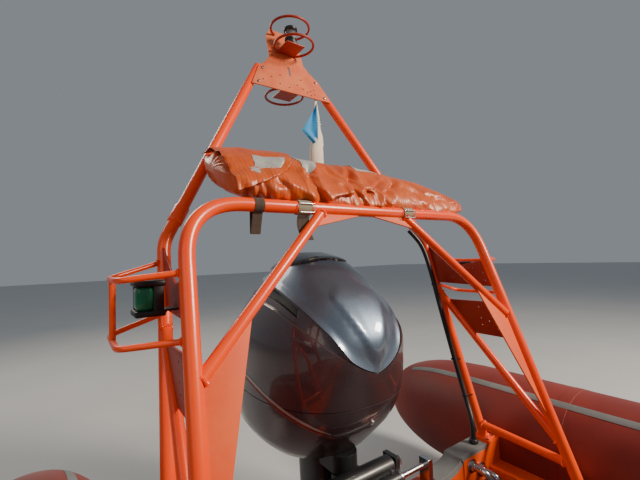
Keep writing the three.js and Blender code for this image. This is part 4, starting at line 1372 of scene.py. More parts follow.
def buildStraps():
    radius = frameSizes["pipe"] / 2 + 0.0012
    for name in sides:
        x, loose = straps[name]
        bm = bmesh.new()
        centre = Vector((x, hoopTop.y, hoopTop.z))
        for layer in (0, 1):
            reach = radius + layer * straps["thick"]
            path = [onBag(x, 200, -0.004)] if layer else []
            for k in range(37):
                angle = math.radians(150 - 300 * k / 36 if layer else 10 * k)
                path.append(centre + Vector((0, math.cos(angle), math.sin(angle))) * reach)
            addBand(bm, path, (straps["wide"], 0, 0), straps["thick"])
        # the buckle is a wire frame that the band turns back through
        front = centre + Vector((0, radius + 0.006, -0.004))
        half = straps["wide"] / 2 + 0.004
        frameOf = [(-half, 0.014), (half, 0.014), (half, -0.014), (-half, -0.014), (-half, 0.014)]
        addPipe(bm, roundBend([front + Vector((dx, 0, dz)) for dx, dz in frameOf], 0.003, 4), 0.0035, 10, 1)
        if loose:
            tail = []
            for k in range(13):
                t = k / 12
                drop = -radius - straps["tail"] * t
                tail.append(centre + Vector((0.006 * math.sin(t * 4), 0.004 + 0.012 * t * t, drop)))
            addBand(bm, tail, (straps["wide"] * 0.9, 0, 0), straps["thick"], 2)
        strap = keep("bagStrap_" + name, bm, [webbing, stainless, darkWebbing], 60)
        fit(strap, "boat", "webbing", "bag_strap_" + name)
    bm = bmesh.new()
    centre = Vector((straps["loopX"], hoopTop.y, hoopTop.z))
    path = [centre + Vector((0, -radius - 0.002, -0.085))]
    for k in range(25):
        angle = math.radians(180 - 265 * k / 24)
        path.append(centre + Vector((0, math.cos(angle), math.sin(angle))) * radius)
    path.append(centre + Vector((0.003, -radius * 0.5, -0.088)))
    addBand(bm, path, (straps["loopWide"], 0, 0), straps["loopThick"])
    fit(keep("restrapLoop", bm, [darkWebbing], 60), "boat", "webbing")


buildBagCloths()
buildStraps()
print("righting bag and straps built")


# The ensign hangs furled from the apex plate: [down, radius].
flagRows = [
    (0.0, 0.006), (0.06, 0.016), (0.14, 0.029), (0.22, 0.039), (0.30, 0.046), (0.56, 0.051), (0.60, 0.047),
]
flagLook = {
    "cut": (0.38, 0.58),
    "mostTurns": 4.0,
    "flatten": 0.6,
    "x": -0.135,
    "up": -0.026,
    "off": 0.0196,
    "pleat": 0.0022,
    "hem": 0.012,
    "thick": 0.0006,
    "cornerWide": 0.09,
    "cornerDrop": 0.19,
}


def buildEnsign():
    look = flagLook
    top = onPlate(look["x"], look["up"], look["off"])
    bm = bmesh.new()
    bmesh.ops.create_grid(bm, x_segments=150, y_segments=44, size=0.5)
    width, drop = look["cut"]
    for v in bm.verts:
        s, t = v.co.x + 0.5, v.co.y + 0.5
        down = drop * t
        radius = readTable(flagRows, down)[0]
        turns = min(look["mostTurns"], width / (2 * math.pi * 0.62 * radius))
        pleat = look["pleat"] * math.sin(s * 21 + t * 5) * smoothStep(0.1, 0.4, t)
        angle = 2 * math.pi * turns * s + 0.9 * t
        reach = radius * (0.42 + 0.55 * s) + pleat
        hem = look["hem"] * math.sin(s * 17) * smoothStep(0.9, 1.0, t)
        y = math.sin(angle) * reach * look["flatten"] - 0.004
        v.co = top + Vector((math.cos(angle) * reach, y, -down + hem))
    bmesh.ops.solidify(bm, geom=list(bm.faces), thickness=look["thick"])
    piece = fit(keep("ensignCloth", bm, [flagCloth], 60), "boat", "flag_cloth", "ensign")
    corner = buildFlagCorner(top)


# The flag's coloured corner stands out of the roll.
def buildFlagCorner(top):
    bm = bmesh.new()
    bmesh.ops.create_grid(bm, x_segments=12, y_segments=24, size=0.5)
    for v in bm.verts:
        s, t = v.co.x + 0.5, v.co.y + 0.5
        wide = flagLook["cornerWide"] * min(t / 0.72 + 0.06, 0.25 + 2.7 * (1 - t))
        wave = 0.008 * math.sin(s * 7 + t * 3)
        drop = 0.035 + flagLook["cornerDrop"] * t + 0.02 * s
        v.co = top + Vector((0.010 + wide * s, 0.018 + wave, -drop))
    bmesh.ops.solidify(bm, geom=list(bm.faces), thickness=flagLook["thick"])
    return fit(keep("ensignCorner", bm, [flagBand], 60), "boat", "flag_cloth")


buildEnsign()
print("ensign built")


# Engine cover: [z, front, rear, half width], front and rear from the transom.
coverRows = [
    (0.560, -0.130, -0.630, 0.215),
    (0.620, -0.075, -0.715, 0.275),
    (0.700, 0.000, -0.765, 0.300),
    (0.800, 0.055, -0.790, 0.312),
    (0.950, 0.080, -0.785, 0.312),
    (1.050, 0.068, -0.758, 0.297),
    (1.180, -0.015, -0.644, 0.233),
    (1.270, -0.125, -0.534, 0.184),
    (1.330, -0.225, -0.452, 0.127),
    (1.360, -0.315, -0.384, 0.062),
]
# Degrees round from the front's middle: [degrees, side wall's top, silver panel's edge, black rim's start]
panelRows = [
    (0, 0.915, 0.919, 1.325),
    (8, 0.940, 0.945, 1.325),
    (16, 0.968, 0.978, 1.322),
    (22, 0.989, 1.020, 1.320),
    (29, 1.012, 1.064, 1.318),
    (46, 1.069, 1.132, 1.312),
    (69, 1.124, 1.193, 1.305),
    (90, 1.152, 1.228, 1.296),
    (120, 1.178, 1.243, 1.285),
    (150, 1.188, 1.248, 1.280),
    (180, 1.190, 1.250, 1.278),
]
# Half width of the panel's raised middle at each height
bonnetRows = [(0.90, 0.0), (0.935, 0.004), (1.027, 0.044), (1.139, 0.096), (1.228, 0.118), (1.37, 0.125)]
coverLook = {
    "power": 2.5,
    "around": 256,
    "split": 0.8,
    "seam": 0.002,
    "flare": 0.005,
    "proud": 0.005,
    "dip": 0.008,
    "slotFrom": 54,
    "slotTo": 112,
    "slotDepth": 0.03,
    "recess": 0.006,
    "rimProud": 0.006,
    "rimWide": 0.010,
    "top": 1.36,
    "ridge": 0.007,
    "scoop": 0.005,
    "crest": 1.236,  # where the arc that closes the raised middle has its top
    "crestCurve": 4.0,
}


def coverPoint(degrees, z, off=0.0):
    def bare(d, h):
        front, rear, half = readTable(coverRows, h)
        c, s = math.cos(math.radians(d)), math.sin(math.radians(d))
        power = 2 / coverLook["power"]
        x = half * math.copysign(abs(c) ** power, c)
        y = (front - rear) / 2 * math.copysign(abs(s) ** power, s)
        return Vector((x, transomY + (front + rear) / 2 + y, h))

    at = bare(degrees, z)
    if not off:
        return at
    around = bare(degrees + 0.6, z) - bare(degrees - 0.6, z)
    low, high = max(z - 0.004, coverRows[0][0]), min(z + 0.004, coverRows[-1][0])
    up = bare(degrees, high) - bare(degrees, low)
    return at + around.cross(up).normalized() * off


# The raised middle of the panel: a long V from the nose, closed by an arc near the crest.
def bonnet(at):
    look = coverLook
    ridge = readTable(bonnetRows, at.z)[0]
    arc = look["crest"] - look["crestCurve"] * at.x * at.x
    side = smoothStep(ridge + 0.005, ridge - 0.005, abs(at.x))
    scoop = smoothStep(0.9, 0.2, abs(at.x) / max(ridge, 0.02)) * smoothStep(0.98, 1.10, at.z)
    return (look["ridge"] * side - look["scoop"] * scoop) * smoothStep(arc + 0.009, arc - 0.009, at.z)


# One upright line of the cover as [z, how proud, material]: side wall, wedge with its air slot, panel, rim.
def coverColumn(degrees):
    look = coverLook
    fromFront = abs((degrees - 90 + 180) % 360 - 180)
    low, edge, rim = readTable(panelRows, fromFront)
    slotIn = smoothStep(look["slotFrom"], look["slotFrom"] + 5, fromFront)
    slotOut = smoothStep(look["slotTo"] + 4, look["slotTo"], fromFront)
    slot = look["slotDepth"] * slotIn * slotOut
    tall = edge - low
    # the air slot is a closed recess coloured black, a painted shade for the dark opening into the cover
    dark = 1 if slot > 0.2 * look["slotDepth"] else 0
    recess = -look["recess"] * smoothStep(0.004, 0.03, tall)
    start = look["split"] + look["seam"]
    column = [(start - 0.001, -0.004, 0)]
    for k in range(14):
        z = start + (low - start) * k / 13
        column.append((z, look["flare"] * smoothStep(low - 0.1, low, z), 0))
    for share, off, kind in (
        (0.04, 0.003, 0), (0.10, recess, 0), (0.42, recess, 0), (0.46, recess - slot, dark),
        (0.84, recess - slot, dark), (0.88, recess, 0), (0.97, recess, 0),
    ):
        column.append((low + tall * share, off, kind))
    column.append((edge + 0.0006, look["proud"], 2))
    for k in range(1, 31):
        z = edge + (rim - edge) * math.sin(math.radians(90 * k / 30))
        above = z - edge
        dip = look["dip"] * smoothStep(0.0, 0.03, above) * smoothStep(0.16, 0.03, above)
        off = look["proud"] * smoothStep(0.2, 0.0, above) - dip + bonnet(coverPoint(degrees, z))
        column.append((z, off, 2))
    crown, proud = rim + look["rimWide"], look["rimProud"]
    for z, off in ((rim + 0.0005, 0.001), (rim + 0.002, proud), (crown, proud + 0.002)):
        column.append((z, off, 3))
    for k in range(1, 9):
        z = crown + (look["top"] - crown) * math.sin(math.radians(90 * k / 8))
        column.append((z, proud * (1 - k / 10), 3))
    return column


def buildCover():
    around = coverLook["around"]
    columns = []
    for i in range(around):
        degrees = 360 * i / around
        columns.append([(coverPoint(degrees, z, off), kind) for z, off, kind in coverColumn(degrees)])
    rings = [[columns[i][k][0] for i in range(around)] for k in range(len(columns[0]))]
    bm = bmesh.new()
    loops = addSkin(bm, rings)
    kinds = {v: (k, columns[i][k][1]) for k, ring in enumerate(loops) for i, v in enumerate(ring)}
    for face in bm.faces:
        face.material_index = max(kinds.get(v, (0, 0)) for v in face.verts)[1]
    piece = keep("coverUpper", bm, [coverPaint, blackAbs, panelPaint, rimAbs], 28)
    fit(piece, "engine", "cowl_paint", "cowl_upper")
    bm = bmesh.new()
    rows = [(0.560, -0.012), (0.5605, -0.002)]
    rows += [(z, 0.0) for z in (0.566, 0.6, 0.64, 0.68, 0.72, 0.76, 0.79, 0.7985)]
    rows.append((0.7995, -0.003))
    addSkin(bm, [[coverPoint(360 * i / around, z, off) for i in range(around)] for z, off in rows])
    fit(keep("coverLower", bm, [coverPaint], 28), "engine", "engine_casting", "cowl_lower")


# Films on the cover as [degrees from the front from and to, z from and to, height].
films = [(132, 24, 0.966, 0.712, 0.011), (132, 20, 0.952, 0.690, 0.007)]


# A film laid on the cover from one place to another, narrowing at its end.
def addFilm(bm, film, side, material):
    fromFront, toFront, zFrom, zTo, height = film
    before = set(bm.faces)
    verts = bmesh.ops.create_grid(bm, x_segments=90, y_segments=1, size=0.5)["verts"]
    for v in verts:
        s, t = v.co.x + 0.5, v.co.y + 0.5
        away = fromFront + (toFront - fromFront) * s
        z = zFrom + (zTo - zFrom) * s + height * (t - 0.5) * min(1, 5 * (1 - s) + 0.25)
        v.co = coverPoint(90 - side * away, z, 0.0009)
    bmesh.ops.solidify(bm, geom=[f for f in bm.faces if f not in before], thickness=0.0004)
    paint(bm, before, material)


def buildFilms():
    bm = bmesh.new()
    for side in sides.values():
        for material, film in enumerate(films):
            addFilm(bm, film, side, material)
    fit(keep("coverStripes", bm, [silverFilm, redFilm], 30), "engine", "cowl_paint")


# The bracket's bolts and tilt tube, and the steering cylinder: y from the transom.
mounting = {
    "boltX": 0.13,
    "boltZ": (0.33, 0.40),
    "boltY": 0.101,
    "washerY": 0.0965,
    "tube": (0.195, -0.04, 0.5),
    "ramY": 0.045,
    "ramZ": 0.5,
    "glandX": 0.118,
    "portX": 0.08,
    "portUp": 0.03,
}


def buildEngine():
    buildCover()
    buildFilms()
    for node, name, material, slotName, bevel in (
        ("engine_leg", "engineLeg", castAluminium, "engine_casting", 0.003),
        ("gearcase", "gearcaseShell", castAluminium, "engine_casting", 0.0015),
        ("propeller", "propellerBlades", stainless, "stainless_steel", 0.0008),
        ("clamp_bracket", "clampBracket", castAluminium, "engine_casting", 0.004),
        ("swivel_bracket", "swivelBracket", castAluminium, "engine_casting", 0.004),
        ("steering_rod", "steeringRod", stainless, "stainless_steel", 0.0015),
        ("steering_cylinder", "steeringCylinder", castAluminium, "stainless_steel", 0.002),
    ):
        dressed(node, name, material, slotName, bevel)
    m = mounting
    bm = bmesh.new()
    for side in sides.values():
        for z in m["boltZ"]:
            x = m["boltX"] * side
            addDrum(bm, (x, transomY + m["boltY"], z), (0, 1, 0), 0.03, 0.012, 0.0015, 6)
            addDrum(bm, (x, transomY + m["washerY"], z), (0, 1, 0), 0.042, 0.003, 0.0008, 32)
        x, y, z = m["tube"]
        addDrum(bm, (x * side, transomY + y, z), (1, 0, 0), 0.044, 0.012, 0.002, 6)
    fit(keep("clampBolts", bm, [stainless]), "boat", "stainless_steel")
    bm = bmesh.new()
    for way in (-1, 1):
        ram = Vector((0, transomY + m["ramY"], m["ramZ"]))
        addDrum(bm, ram + Vector((m["glandX"] * way, 0, 0)), (1, 0, 0), 0.046, 0.014, 0.003)
        addDrum(bm, ram + Vector((m["portX"] * way, 0, m["portUp"])), (0, 0, 1), 0.016, 0.016, 0.002, 6)
    fit(keep("ramGlands", bm, [stainless]), "steering_cylinder", "stainless_steel")


buildEngine()
print("outboard built")


# Buoyancy tube: [from the transom, radius] at the stern, then a straight run and the bow's curve.
collarLook = {
    "x": 1.02,
    "z": 0.4,
    "radius": 0.28,
    "stern": [(-0.78, 0.07), (-0.74, 0.14), (-0.63, 0.21), (-0.44, 0.262), (-0.2, 0.28)],
    "bowStart": 1.45,
    "bowReach": 1.98,
    "bowRise": 0.24,
    "bowTaper": 0.02,
    "around": 64,
    "seams": [-2.42, -1.1, 0.25, 1.4],
    "seamWide": 0.05,
    # [first station, degrees round the section, half width in degrees, lift]
    "strakes": [(6, 0, 9, 0.012), (6, -32, 5, 0.007), (8, 118, 3.5, 0.0016)],
    "handles": [-1.75, -0.45, 0.85],
    "handleAt": 62,  # degrees round the section
    "handleLong": 0.26,
    "handleLift": 0.034,
    "patchOut": 0.14,  # each end's patch, from the handle's middle
    "patch": 0.11,
}


# The tube's sections as [middle, way out, radius], from stern to bow.
def collarStations():
    look = collarLook
    stations = []
    (first, _), (last, _) = look["stern"][0], look["stern"][-1]
    for k in range(25):
        y = first + (last - first) * k / 24
        radius = readTable(look["stern"], y)[0]
        stations.append((Vector((look["x"], transomY + y, look["z"])), Vector((1, 0, 0)), radius))
    for k in range(1, 45):
        y = transomY + last + (look["bowStart"] - transomY - last) * k / 44
        stations.append((Vector((look["x"], y, look["z"])), Vector((1, 0, 0)), look["radius"]))
    for k in range(1, 41):
        t = math.pi / 2 * k / 40
        y = look["bowStart"] + look["bowReach"] * math.sin(t)
        at = Vector((look["x"] * math.cos(t), y, look["z"] + look["bowRise"] * math.sin(t) ** 2))
        along = Vector((-look["x"] * math.sin(t), look["bowReach"] * math.cos(t), 0)).normalized()
        radius = look["radius"] - look["bowTaper"] * math.sin(t)
        stations.append((at, Vector((along.y, -along.x, 0)), radius))
    return stations


def shifted(station, dy):
    return station[0] + Vector((0, dy, 0)), station[1], station[2]


def onCollar(station, degrees, lift, side):
    at, out, radius = station
    c, s = math.cos(math.radians(degrees)), math.sin(math.radians(degrees))
    return mirrored(at + (out * c + Vector((0, 0, 1)) * s) * (radius + lift), side)


# A strip along the tube: it follows the stations, between two angles round the section.
def addStrip(bm, stations, middle, half, lift, side):
    section = [
        (-1, -0.002), (-1, lift * 0.7), (-0.85, lift), (0, lift * 1.1),
        (0.85, lift), (1, lift * 0.7), (1, -0.002),
    ]
    rings = [[onCollar(s, middle + half * a, off, side) for a, off in section] for s in stations]
    addSkin(bm, rings)


def aroundCollar(station, lift, side):
    count = collarLook["around"]
    return [onCollar(station, 360 * i / count, lift, side) for i in range(count)]


def buildCollars():
    look = collarLook
    stations = collarStations()
    for name, side in sides.items():
        bm = bmesh.new()
        addSkin(bm, [aroundCollar(s, 0, side) for s in stations])
        tube = keep("collar_" + name + "Skin", bm, [collarRubber], 50)
        fit(tube, "boat", "collar_fabric", "collar_" + name)
        bm = bmesh.new()
        for first, middle, half, lift in look["strakes"]:
            addStrip(bm, stations[first:], middle, half, lift, side)
        fit(keep("collarStrakes_" + name, bm, [greyRubber], 40), "boat", "collar_fabric")
        bm = bmesh.new()
        for y in look["seams"]:
            middle = min(stations, key=lambda s: abs(s[0].y - y))
            band = []
            for share, lift in ((-0.5, -0.001), (-0.46, 0.0014), (0.46, 0.0014), (0.5, -0.001)):
                band.append(aroundCollar(shifted(middle, share * look["seamWide"]), lift, side))
            addSkin(bm, band)
        at, out, radius = shifted(stations[0], -0.004)
        cap = [aroundCollar((at, out, radius * 0.75), 0, side)]
        addSkin(bm, cap + [aroundCollar(s, 0.002, side) for s in stations[:3]])
        fit(keep("collarSeams_" + name, bm, [collarRubber], 40), "boat", "collar_fabric")
        bm = bmesh.new()
        for y in look["handles"]:
            middle = min(stations, key=lambda s: abs(s[0].y - y))
            path, turned = [], look["handleAt"]
            for k in range(13):
                t = k / 12
                lift = 0.004 + look["handleLift"] * math.sin(math.pi * t) ** 0.6
                path.append(onCollar(shifted(middle, (t - 0.5) * look["handleLong"]), turned, lift, side))
            wide = onCollar(middle, turned + 4, 0, side) - onCollar(middle, turned - 4, 0, side)
            addBand(bm, path, wide, 0.003)
            for dy in (-look["patchOut"], look["patchOut"]):
                at = shifted(middle, dy)
                out = onCollar(at, turned, 1, side) - onCollar(at, turned, 0, side)
                addDrum(bm, onCollar(at, turned, 0.0015, side), out, look["patch"], 0.005, 0.0015, 32, 1)
        fit(keep("collarHandles_" + name, bm, [darkWebbing, greyRubber], 40), "boat", "webbing")


# Hull and transom, with the grey edging that runs down into the engine's cutout.
transomLook = {
    "thick": 0.075,
    "top": 0.47,
    "cutoutTop": 0.43,
    "edgeFrom": 0.64,
    "edgeTo": 0.292,
    "lip": 0.022,
    "rubber": 0.004,
    "cutoutX": (0.45, 0.43, 0.28),  # where the curve into the cutout starts, turns and ends
    "doubler": (0.465, 0.625, 0.20, 0.456),  # x and z, from and to
    "doublerThick": 0.005,
    "boltX": (0.485, 0.605),
    "boltZ": (0.225, 0.33),
}


def transomEdge():
    t = transomLook
    top, low = t["top"], t["cutoutTop"]
    points = [Vector((x, 0, top)) for x in (t["edgeFrom"], 0.5, 0.452)]
    start, corner, end = (Vector((x, 0, z)) for x, z in zip(t["cutoutX"], (top, low, low)))
    for k in range(1, 17):
        s = k / 17
        points.append(start * (1 - s) ** 2 + corner * 2 * s * (1 - s) + end * s**2)
    return [p for p in points if p.x > t["edgeTo"]]


def buildTransom():
    dressed("hull", "hullMoulding", hullGelcoat, "hull_paint", 0.005)
    dressed("deck_panel", "deckPanel", deckRubber, "deck_covering", 0.002)
    t = transomLook
    lip, rubber, inside = t["lip"], t["rubber"], transomY + t["thick"]
    near, far = transomY - rubber, inside + rubber
    section = [
        (near, -lip), (near, rubber), (far, rubber), (far, -lip),
        (far - rubber, -lip), (far - rubber, 0.0003), (near + rubber, 0.0003), (near + rubber, -lip),
    ]
    points = transomEdge()
    for name, side in sides.items():
        bm = bmesh.new()
        rings = []
        for i, p in enumerate(points):
            along = (points[min(i + 1, len(points) - 1)] - points[max(i - 1, 0)]).normalized()
            up = Vector((0, 1, 0)).cross(along)
            up = up if up.z > 0 else -up
            rings.append([mirrored(Vector((p.x, y, p.z)) + up * h, side) for y, h in section])
        addSkin(bm, rings)
        piece = keep("transomEdging_" + name, bm, [greyRubber], 40)
        edging(piece, 0.0012)
        fit(piece, "boat", "hull_paint")
        bm = bmesh.new()
        x0, x1, z0, z1 = t["doubler"]
        low, high = sorted((x0 * side, x1 * side))
        addBox(bm, (low, inside, z0), (high, inside + t["doublerThick"], z1), 0.0015)
        fit(keep("transomDoubler_" + name, bm, [hullGelcoat], 30), "boat", "hull_paint")
        bm = bmesh.new()
        for x in t["boltX"]:
            for z in t["boltZ"]:
                addDrum(bm, (x * side, inside + 0.009, z), (0, 1, 0), 0.019, 0.008, 0.001, 6)
        fit(keep("transomBolts_" + name, bm, [stainless], 30), "boat", "stainless_steel")
    buildDrains()


# Bright elbows on the port side of the transom, with short blue hoses down to the deck.
drains = [
    # [x, z of the flange, diameter, where the hose meets the deck]
    (-0.515, 0.422, 0.026, (-0.545, transomY + 0.20)),
    (-0.580, 0.385, 0.030, (-0.60, transomY + 0.21)),
]
drainLook = {"corner": (0, 0.062, 0), "end": (-0.035, 0.092, -0.055), "bend": 0.03, "deckZ": 0.139}


def buildDrains():
    look = drainLook
    inside = transomY + transomLook["thick"] + transomLook["doublerThick"]
    metal, hose = bmesh.new(), bmesh.new()
    for x, z, diameter, (deckX, deckY) in drains:
        start = Vector((x, inside, z))
        addDrum(metal, start + Vector((0, 0.003, 0)), (0, 1, 0), diameter + 0.032, 0.006, 0.0015, 32)
        addDrum(metal, start + Vector((0, 0.012, 0)), (0, 1, 0), diameter + 0.014, 0.016, 0.002, 6)
        corner, end = start + Vector(look["corner"]), start + Vector(look["end"])
        elbow = roundBend([start, corner, end], look["bend"], 12)
        addPipe(metal, elbow, diameter, 20)
        along = (elbow[-1] - elbow[-2]).normalized()
        for shift in (-0.018, -0.006):
            addDrum(metal, end + along * shift, along, diameter + 0.011, 0.008, 0.001, 24)
        floor = Vector((deckX, deckY, look["deckZ"]))
        above = floor + Vector((0.004, -0.01, 0.10))
        route = throughPoints([end - along * 0.026, end + along * 0.05, above, floor], 10)
        addPipe(hose, route, diameter + 0.006, 20)
        addDrum(hose, floor + Vector((0, 0, 0.006)), (0, 0, 1), diameter + 0.04, 0.012, 0.003, 32, 1)
    fit(keep("drainElbows", metal, [stainless], 40), "boat", "stainless_steel")
    fit(keep("drainHoses", hose, [blueHose, blackAbs], 40), "boat", "black_plastic")


# Conduit down the inside of the port mast leg: [x, y from the transom, z].
conduit = {
    "route": [
        (-0.548, -0.236, 1.460), (-0.596, -0.200, 1.380), (-0.612, -0.165, 1.260), (-0.626, -0.120, 1.050),
        (-0.640, -0.062, 0.800), (-0.636, -0.012, 0.640), (-0.610, 0.030, 0.560), (-0.600, 0.038, 0.474),
    ],
    "diameter": 0.022,
    "ties": [1.18, 0.82, 0.66],
}


def buildConduit():
    points = [Vector((x, transomY + y, z)) for x, y, z in conduit["route"]]
    line = throughPoints(points, 8)
    bm = bmesh.new()
    addPipe(bm, line, conduit["diameter"], 20)
    addDrum(bm, points[-1] + Vector((0, 0, 0.010)), (0, 0, 1), 0.044, 0.018, 0.003, 32, top=0.032)
    fit(keep("conduitTube", bm, [blackAbs], 50), "boat", "black_plastic", "conduit")
    bm = bmesh.new()
    for z in conduit["ties"]:
        tube = min(line, key=lambda p: abs(p.z - z))
        leg = mirrored(onMast(z), -1)
        facing = math.atan2(leg.y - tube.y, leg.x - tube.x)
        # half a turn round the leg, then half a turn round the conduit
        loop = []
        for centre, diameter, start in ((leg, frameSizes["pipe"], -90), (tube, conduit["diameter"], 90)):
            for k in range(13):
                angle = facing + math.radians(start + 180 * k / 12)
                reach = Vector((math.cos(angle), math.sin(angle), 0)) * (diameter / 2 + 0.001)
                loop.append(Vector((centre.x, centre.y, z)) + reach)
        addBand(bm, loop + [loop[0]], (0, 0, 0.005), 0.0015)
        head, half = loop[18], Vector((0.004, 0.004, 0.004))
        addBox(bm, head - half, head + half, 0.001)
    fit(keep("conduitTies", bm, [blackAbs], 40), "boat", "black_plastic")


buildCollars()
buildTransom()
buildConduit()
print("hull, collars and transom built")


# Console: a slanting dash behind the wheel, with a screen and gauges let into it.
dash = {
    "low": Vector((0, 0.265, 0.94)),
    "high": Vector((0, 0.330, 1.06)),
    "gauges": [(0.135, 0.062), (0.205, 0.062), (0.135, -0.002), (0.205, -0.002)],
    "gauge": 0.054,
    "tickOut": 0.021,
    "needle": 0.017,
    "needleTurn": 2.4,
    "screenX": (-0.255, -0.055),
    "screenUp": (-0.015, 0.115),
    "screenFrame": 0.014,
    "switches": [-0.02, 0.02, 0.06],
    "switchUp": 0.095,
}


def buildConsole():
    dressed("console", "consoleMoulding", greyGelcoat, "grey_moulding", 0.008)
    dressed("windscreen", "windscreenAcrylic", clearAcrylic, "clear_acrylic", 0.0015)
    dressed("throttle", "throttleControl", blackAbs, "black_plastic", 0.004)
    up = (dash["high"] - dash["low"]).normalized()
    out = Vector((1, 0, 0)).cross(up)
    out = out if out.y < 0 else -out
    stand = Matrix((Vector((1, 0, 0)), up, -out)).transposed().to_4x4()
    turn = Matrix.Translation(dash["low"]) @ stand

    def place(x, rise, off):
        return dash["low"] + Vector((x, 0, 0)) + up * rise + out * off

    bm = bmesh.new()
    (x0, x1), (u0, u1), edge = dash["screenX"], dash["screenUp"], dash["screenFrame"]
    addBox(bm, (x0, u0, -0.012), (x1, u1, 0.008), 0.005, 3, turn=turn)
    addBox(bm, (x0 + edge, u0 + edge, -0.0135), (x1 - edge, u1 - edge, 0.0), 0.001, 1, 1, turn)
    for x, rise in dash["gauges"]:
        addTorus(bm, place(x, rise, 0.005), out, dash["gauge"] / 2, 0.007, 40, material=2)
        addDrum(bm, place(x, rise, 0.002), out, dash["gauge"], 0.006, 0.001, 40, material=1)
        addDrum(bm, place(x, rise, 0.0062), out, 0.006, 0.003, 0.0005, 16, material=2)
        for tick in range(9):
            angle = math.radians(225 - 270 * tick / 8)
            reach = Vector((math.cos(angle), 0, 0)) + up * math.sin(angle)
            addDrum(bm, place(x, rise, 0.0055) + reach * dash["tickOut"], out, 0.0026, 0.0012, 0, 8, 3)
        reach = Vector((math.cos(dash["needleTurn"]), 0, 0)) + up * math.sin(dash["needleTurn"])
        pin = place(x, rise, 0.0065)
        addPipe(bm, [pin, pin + reach * dash["needle"]], 0.0016, 6, 3)
    for x in dash["switches"]:
        addDrum(bm, place(x, dash["switchUp"], 0.004), out, 0.018, 0.01, 0.0015)
        addDrum(bm, place(x, dash["switchUp"] + 0.003, 0.012), out + up * 0.5, 0.005, 0.018, 0.001, 12, 2)
    piece = keep("dashInstruments", bm, [blackAbs, gaugeFace, stainless, flagCloth], 40)
    fit(piece, "boat", "black_plastic")


wheel = {
    "centre": Vector((0, 0.225, 0.985)),
    "lean": 0.5,
    "radius": 0.17,
    "rim": 0.026,
    "hub": 0.07,
    # [distance from the centre, half width]
    "spoke": [(0.02, 0.02), (0.06, 0.013), (0.11, 0.010), (0.17, 0.009)],
    "spokeThick": 0.005,
}


def buildWheel():
    axis = Vector((0, -math.cos(wheel["lean"]), math.sin(wheel["lean"])))
    centre = wheel["centre"]
    bm = bmesh.new()
    addTorus(bm, centre, axis, wheel["radius"], wheel["rim"], 72)
    turn = Vector((0, 0, 1)).rotation_difference(axis)
    for k in range(3):
        angle = 2 * math.pi * k / 3
        reach = turn @ Vector((math.sin(angle), -math.cos(angle), 0))
        side = reach.cross(axis).normalized()
        rings = []
        for far, wide in wheel["spoke"]:
            rings.append(ovalRing(centre + reach * far, wide, wheel["spokeThick"], side, axis, 2.6, 16))
        addSkin(bm, rings, 1)
    addDrum(bm, centre, axis, wheel["hub"], 0.028, 0.004, 36)
    addDrum(bm, centre + axis * 0.014, axis, 0.03, 0.004, 0.001, 24, 1)
    fit(keep("helmWheelRim", bm, [blackAbs, stainless], 40), "helm_wheel", "black_plastic", "helm_wheel")


# Seats: [z, half width, half length] for the saddle, [z, y, half width, half depth] for the back.
seatLook = {
    "places": {"helm": -0.2, "crew": -1.0},
    "saddle": [
        (0.6205, 0.163, 0.233), (0.626, 0.168, 0.238), (0.642, 0.182, 0.248), (0.656, 0.186, 0.251),
        (0.690, 0.186, 0.250), (0.728, 0.184, 0.247), (0.748, 0.174, 0.240), (0.760, 0.156, 0.226),
        (0.766, 0.125, 0.195), (0.769, 0.085, 0.145), (0.770, 0.04, 0.075),
    ],
    "back": [
        (0.7655, -0.170, 0.126, 0.032), (0.775, -0.172, 0.146, 0.040), (0.80, -0.180, 0.172, 0.044),
        (0.86, -0.187, 0.181, 0.046), (0.95, -0.196, 0.184, 0.047), (1.03, -0.204, 0.184, 0.044),
        (1.065, -0.207, 0.174, 0.036), (1.082, -0.208, 0.160, 0.026),
    ],
    "saddlePower": 4,
    "backPower": 3.4,
    "channel": 0.085,  # from one sewn channel to the next
    "sink": 0.006,
    "piping": [(0.650, 0.187, 0.252), (0.738, 0.182, 0.2455)],
}


def seatRing(y, z, halfX, halfY, power, count=64):
    return ovalRing((0, y, z), halfX, halfY, (1, 0, 0), (0, 1, 0), power, count)


def buildSeats():
    look = seatLook
    for name, y in look["places"].items():
        dressed(name + "_seat_base", name + "SeatBase", greyGelcoat, "grey_moulding", 0.006)
        saddle = [seatRing(y, z, hx, hy, look["saddlePower"]) for z, hx, hy in look["saddle"]]
        back = [seatRing(y + dy, z, hx, hy, look["backPower"]) for z, dy, hx, hy in look["back"]]
        for rings, key in ((saddle, "Saddle"), (back, "Backrest")):
            bm = bmesh.new()
            addSkin(bm, rings)
            piece = keep(name + "Seat" + key, bm, [seatVinyl], 180)
            rounding(piece, 2)
            applyModifiers(piece)
            # sewn channels run across the pad's middle
            for v in piece.data.vertices:
                middle = smoothStep(0.15, 0.12, abs(v.co.x))
                if key == "Saddle":
                    on, across, push = smoothStep(0.755, 0.768, v.co.z), v.co.y - y, Vector((0, 0, 1))
                else:
                    on, across = smoothStep(0.02, 0.035, v.co.y - y + 0.195), v.co.z - 0.90
                    push = Vector((0, 1, 0))
                groove = math.exp(-((across / look["channel"] % 1 - 0.5) * 14) ** 2)
                v.co -= push * on * middle * groove * look["sink"]
            piece.data.shade_smooth()
            fit(piece, "boat", "seat_vinyl", name + "_seat_" + key.lower())
        bm = bmesh.new()
        for z, hx, hy in look["piping"]:
            loop = seatRing(y, z, hx, hy, look["saddlePower"], 96)
            addPipe(bm, loop + loop[:1], 0.006, 8)
        fit(keep(name + "SeatPiping", bm, [seatVinyl], 60), "boat", "seat_vinyl")


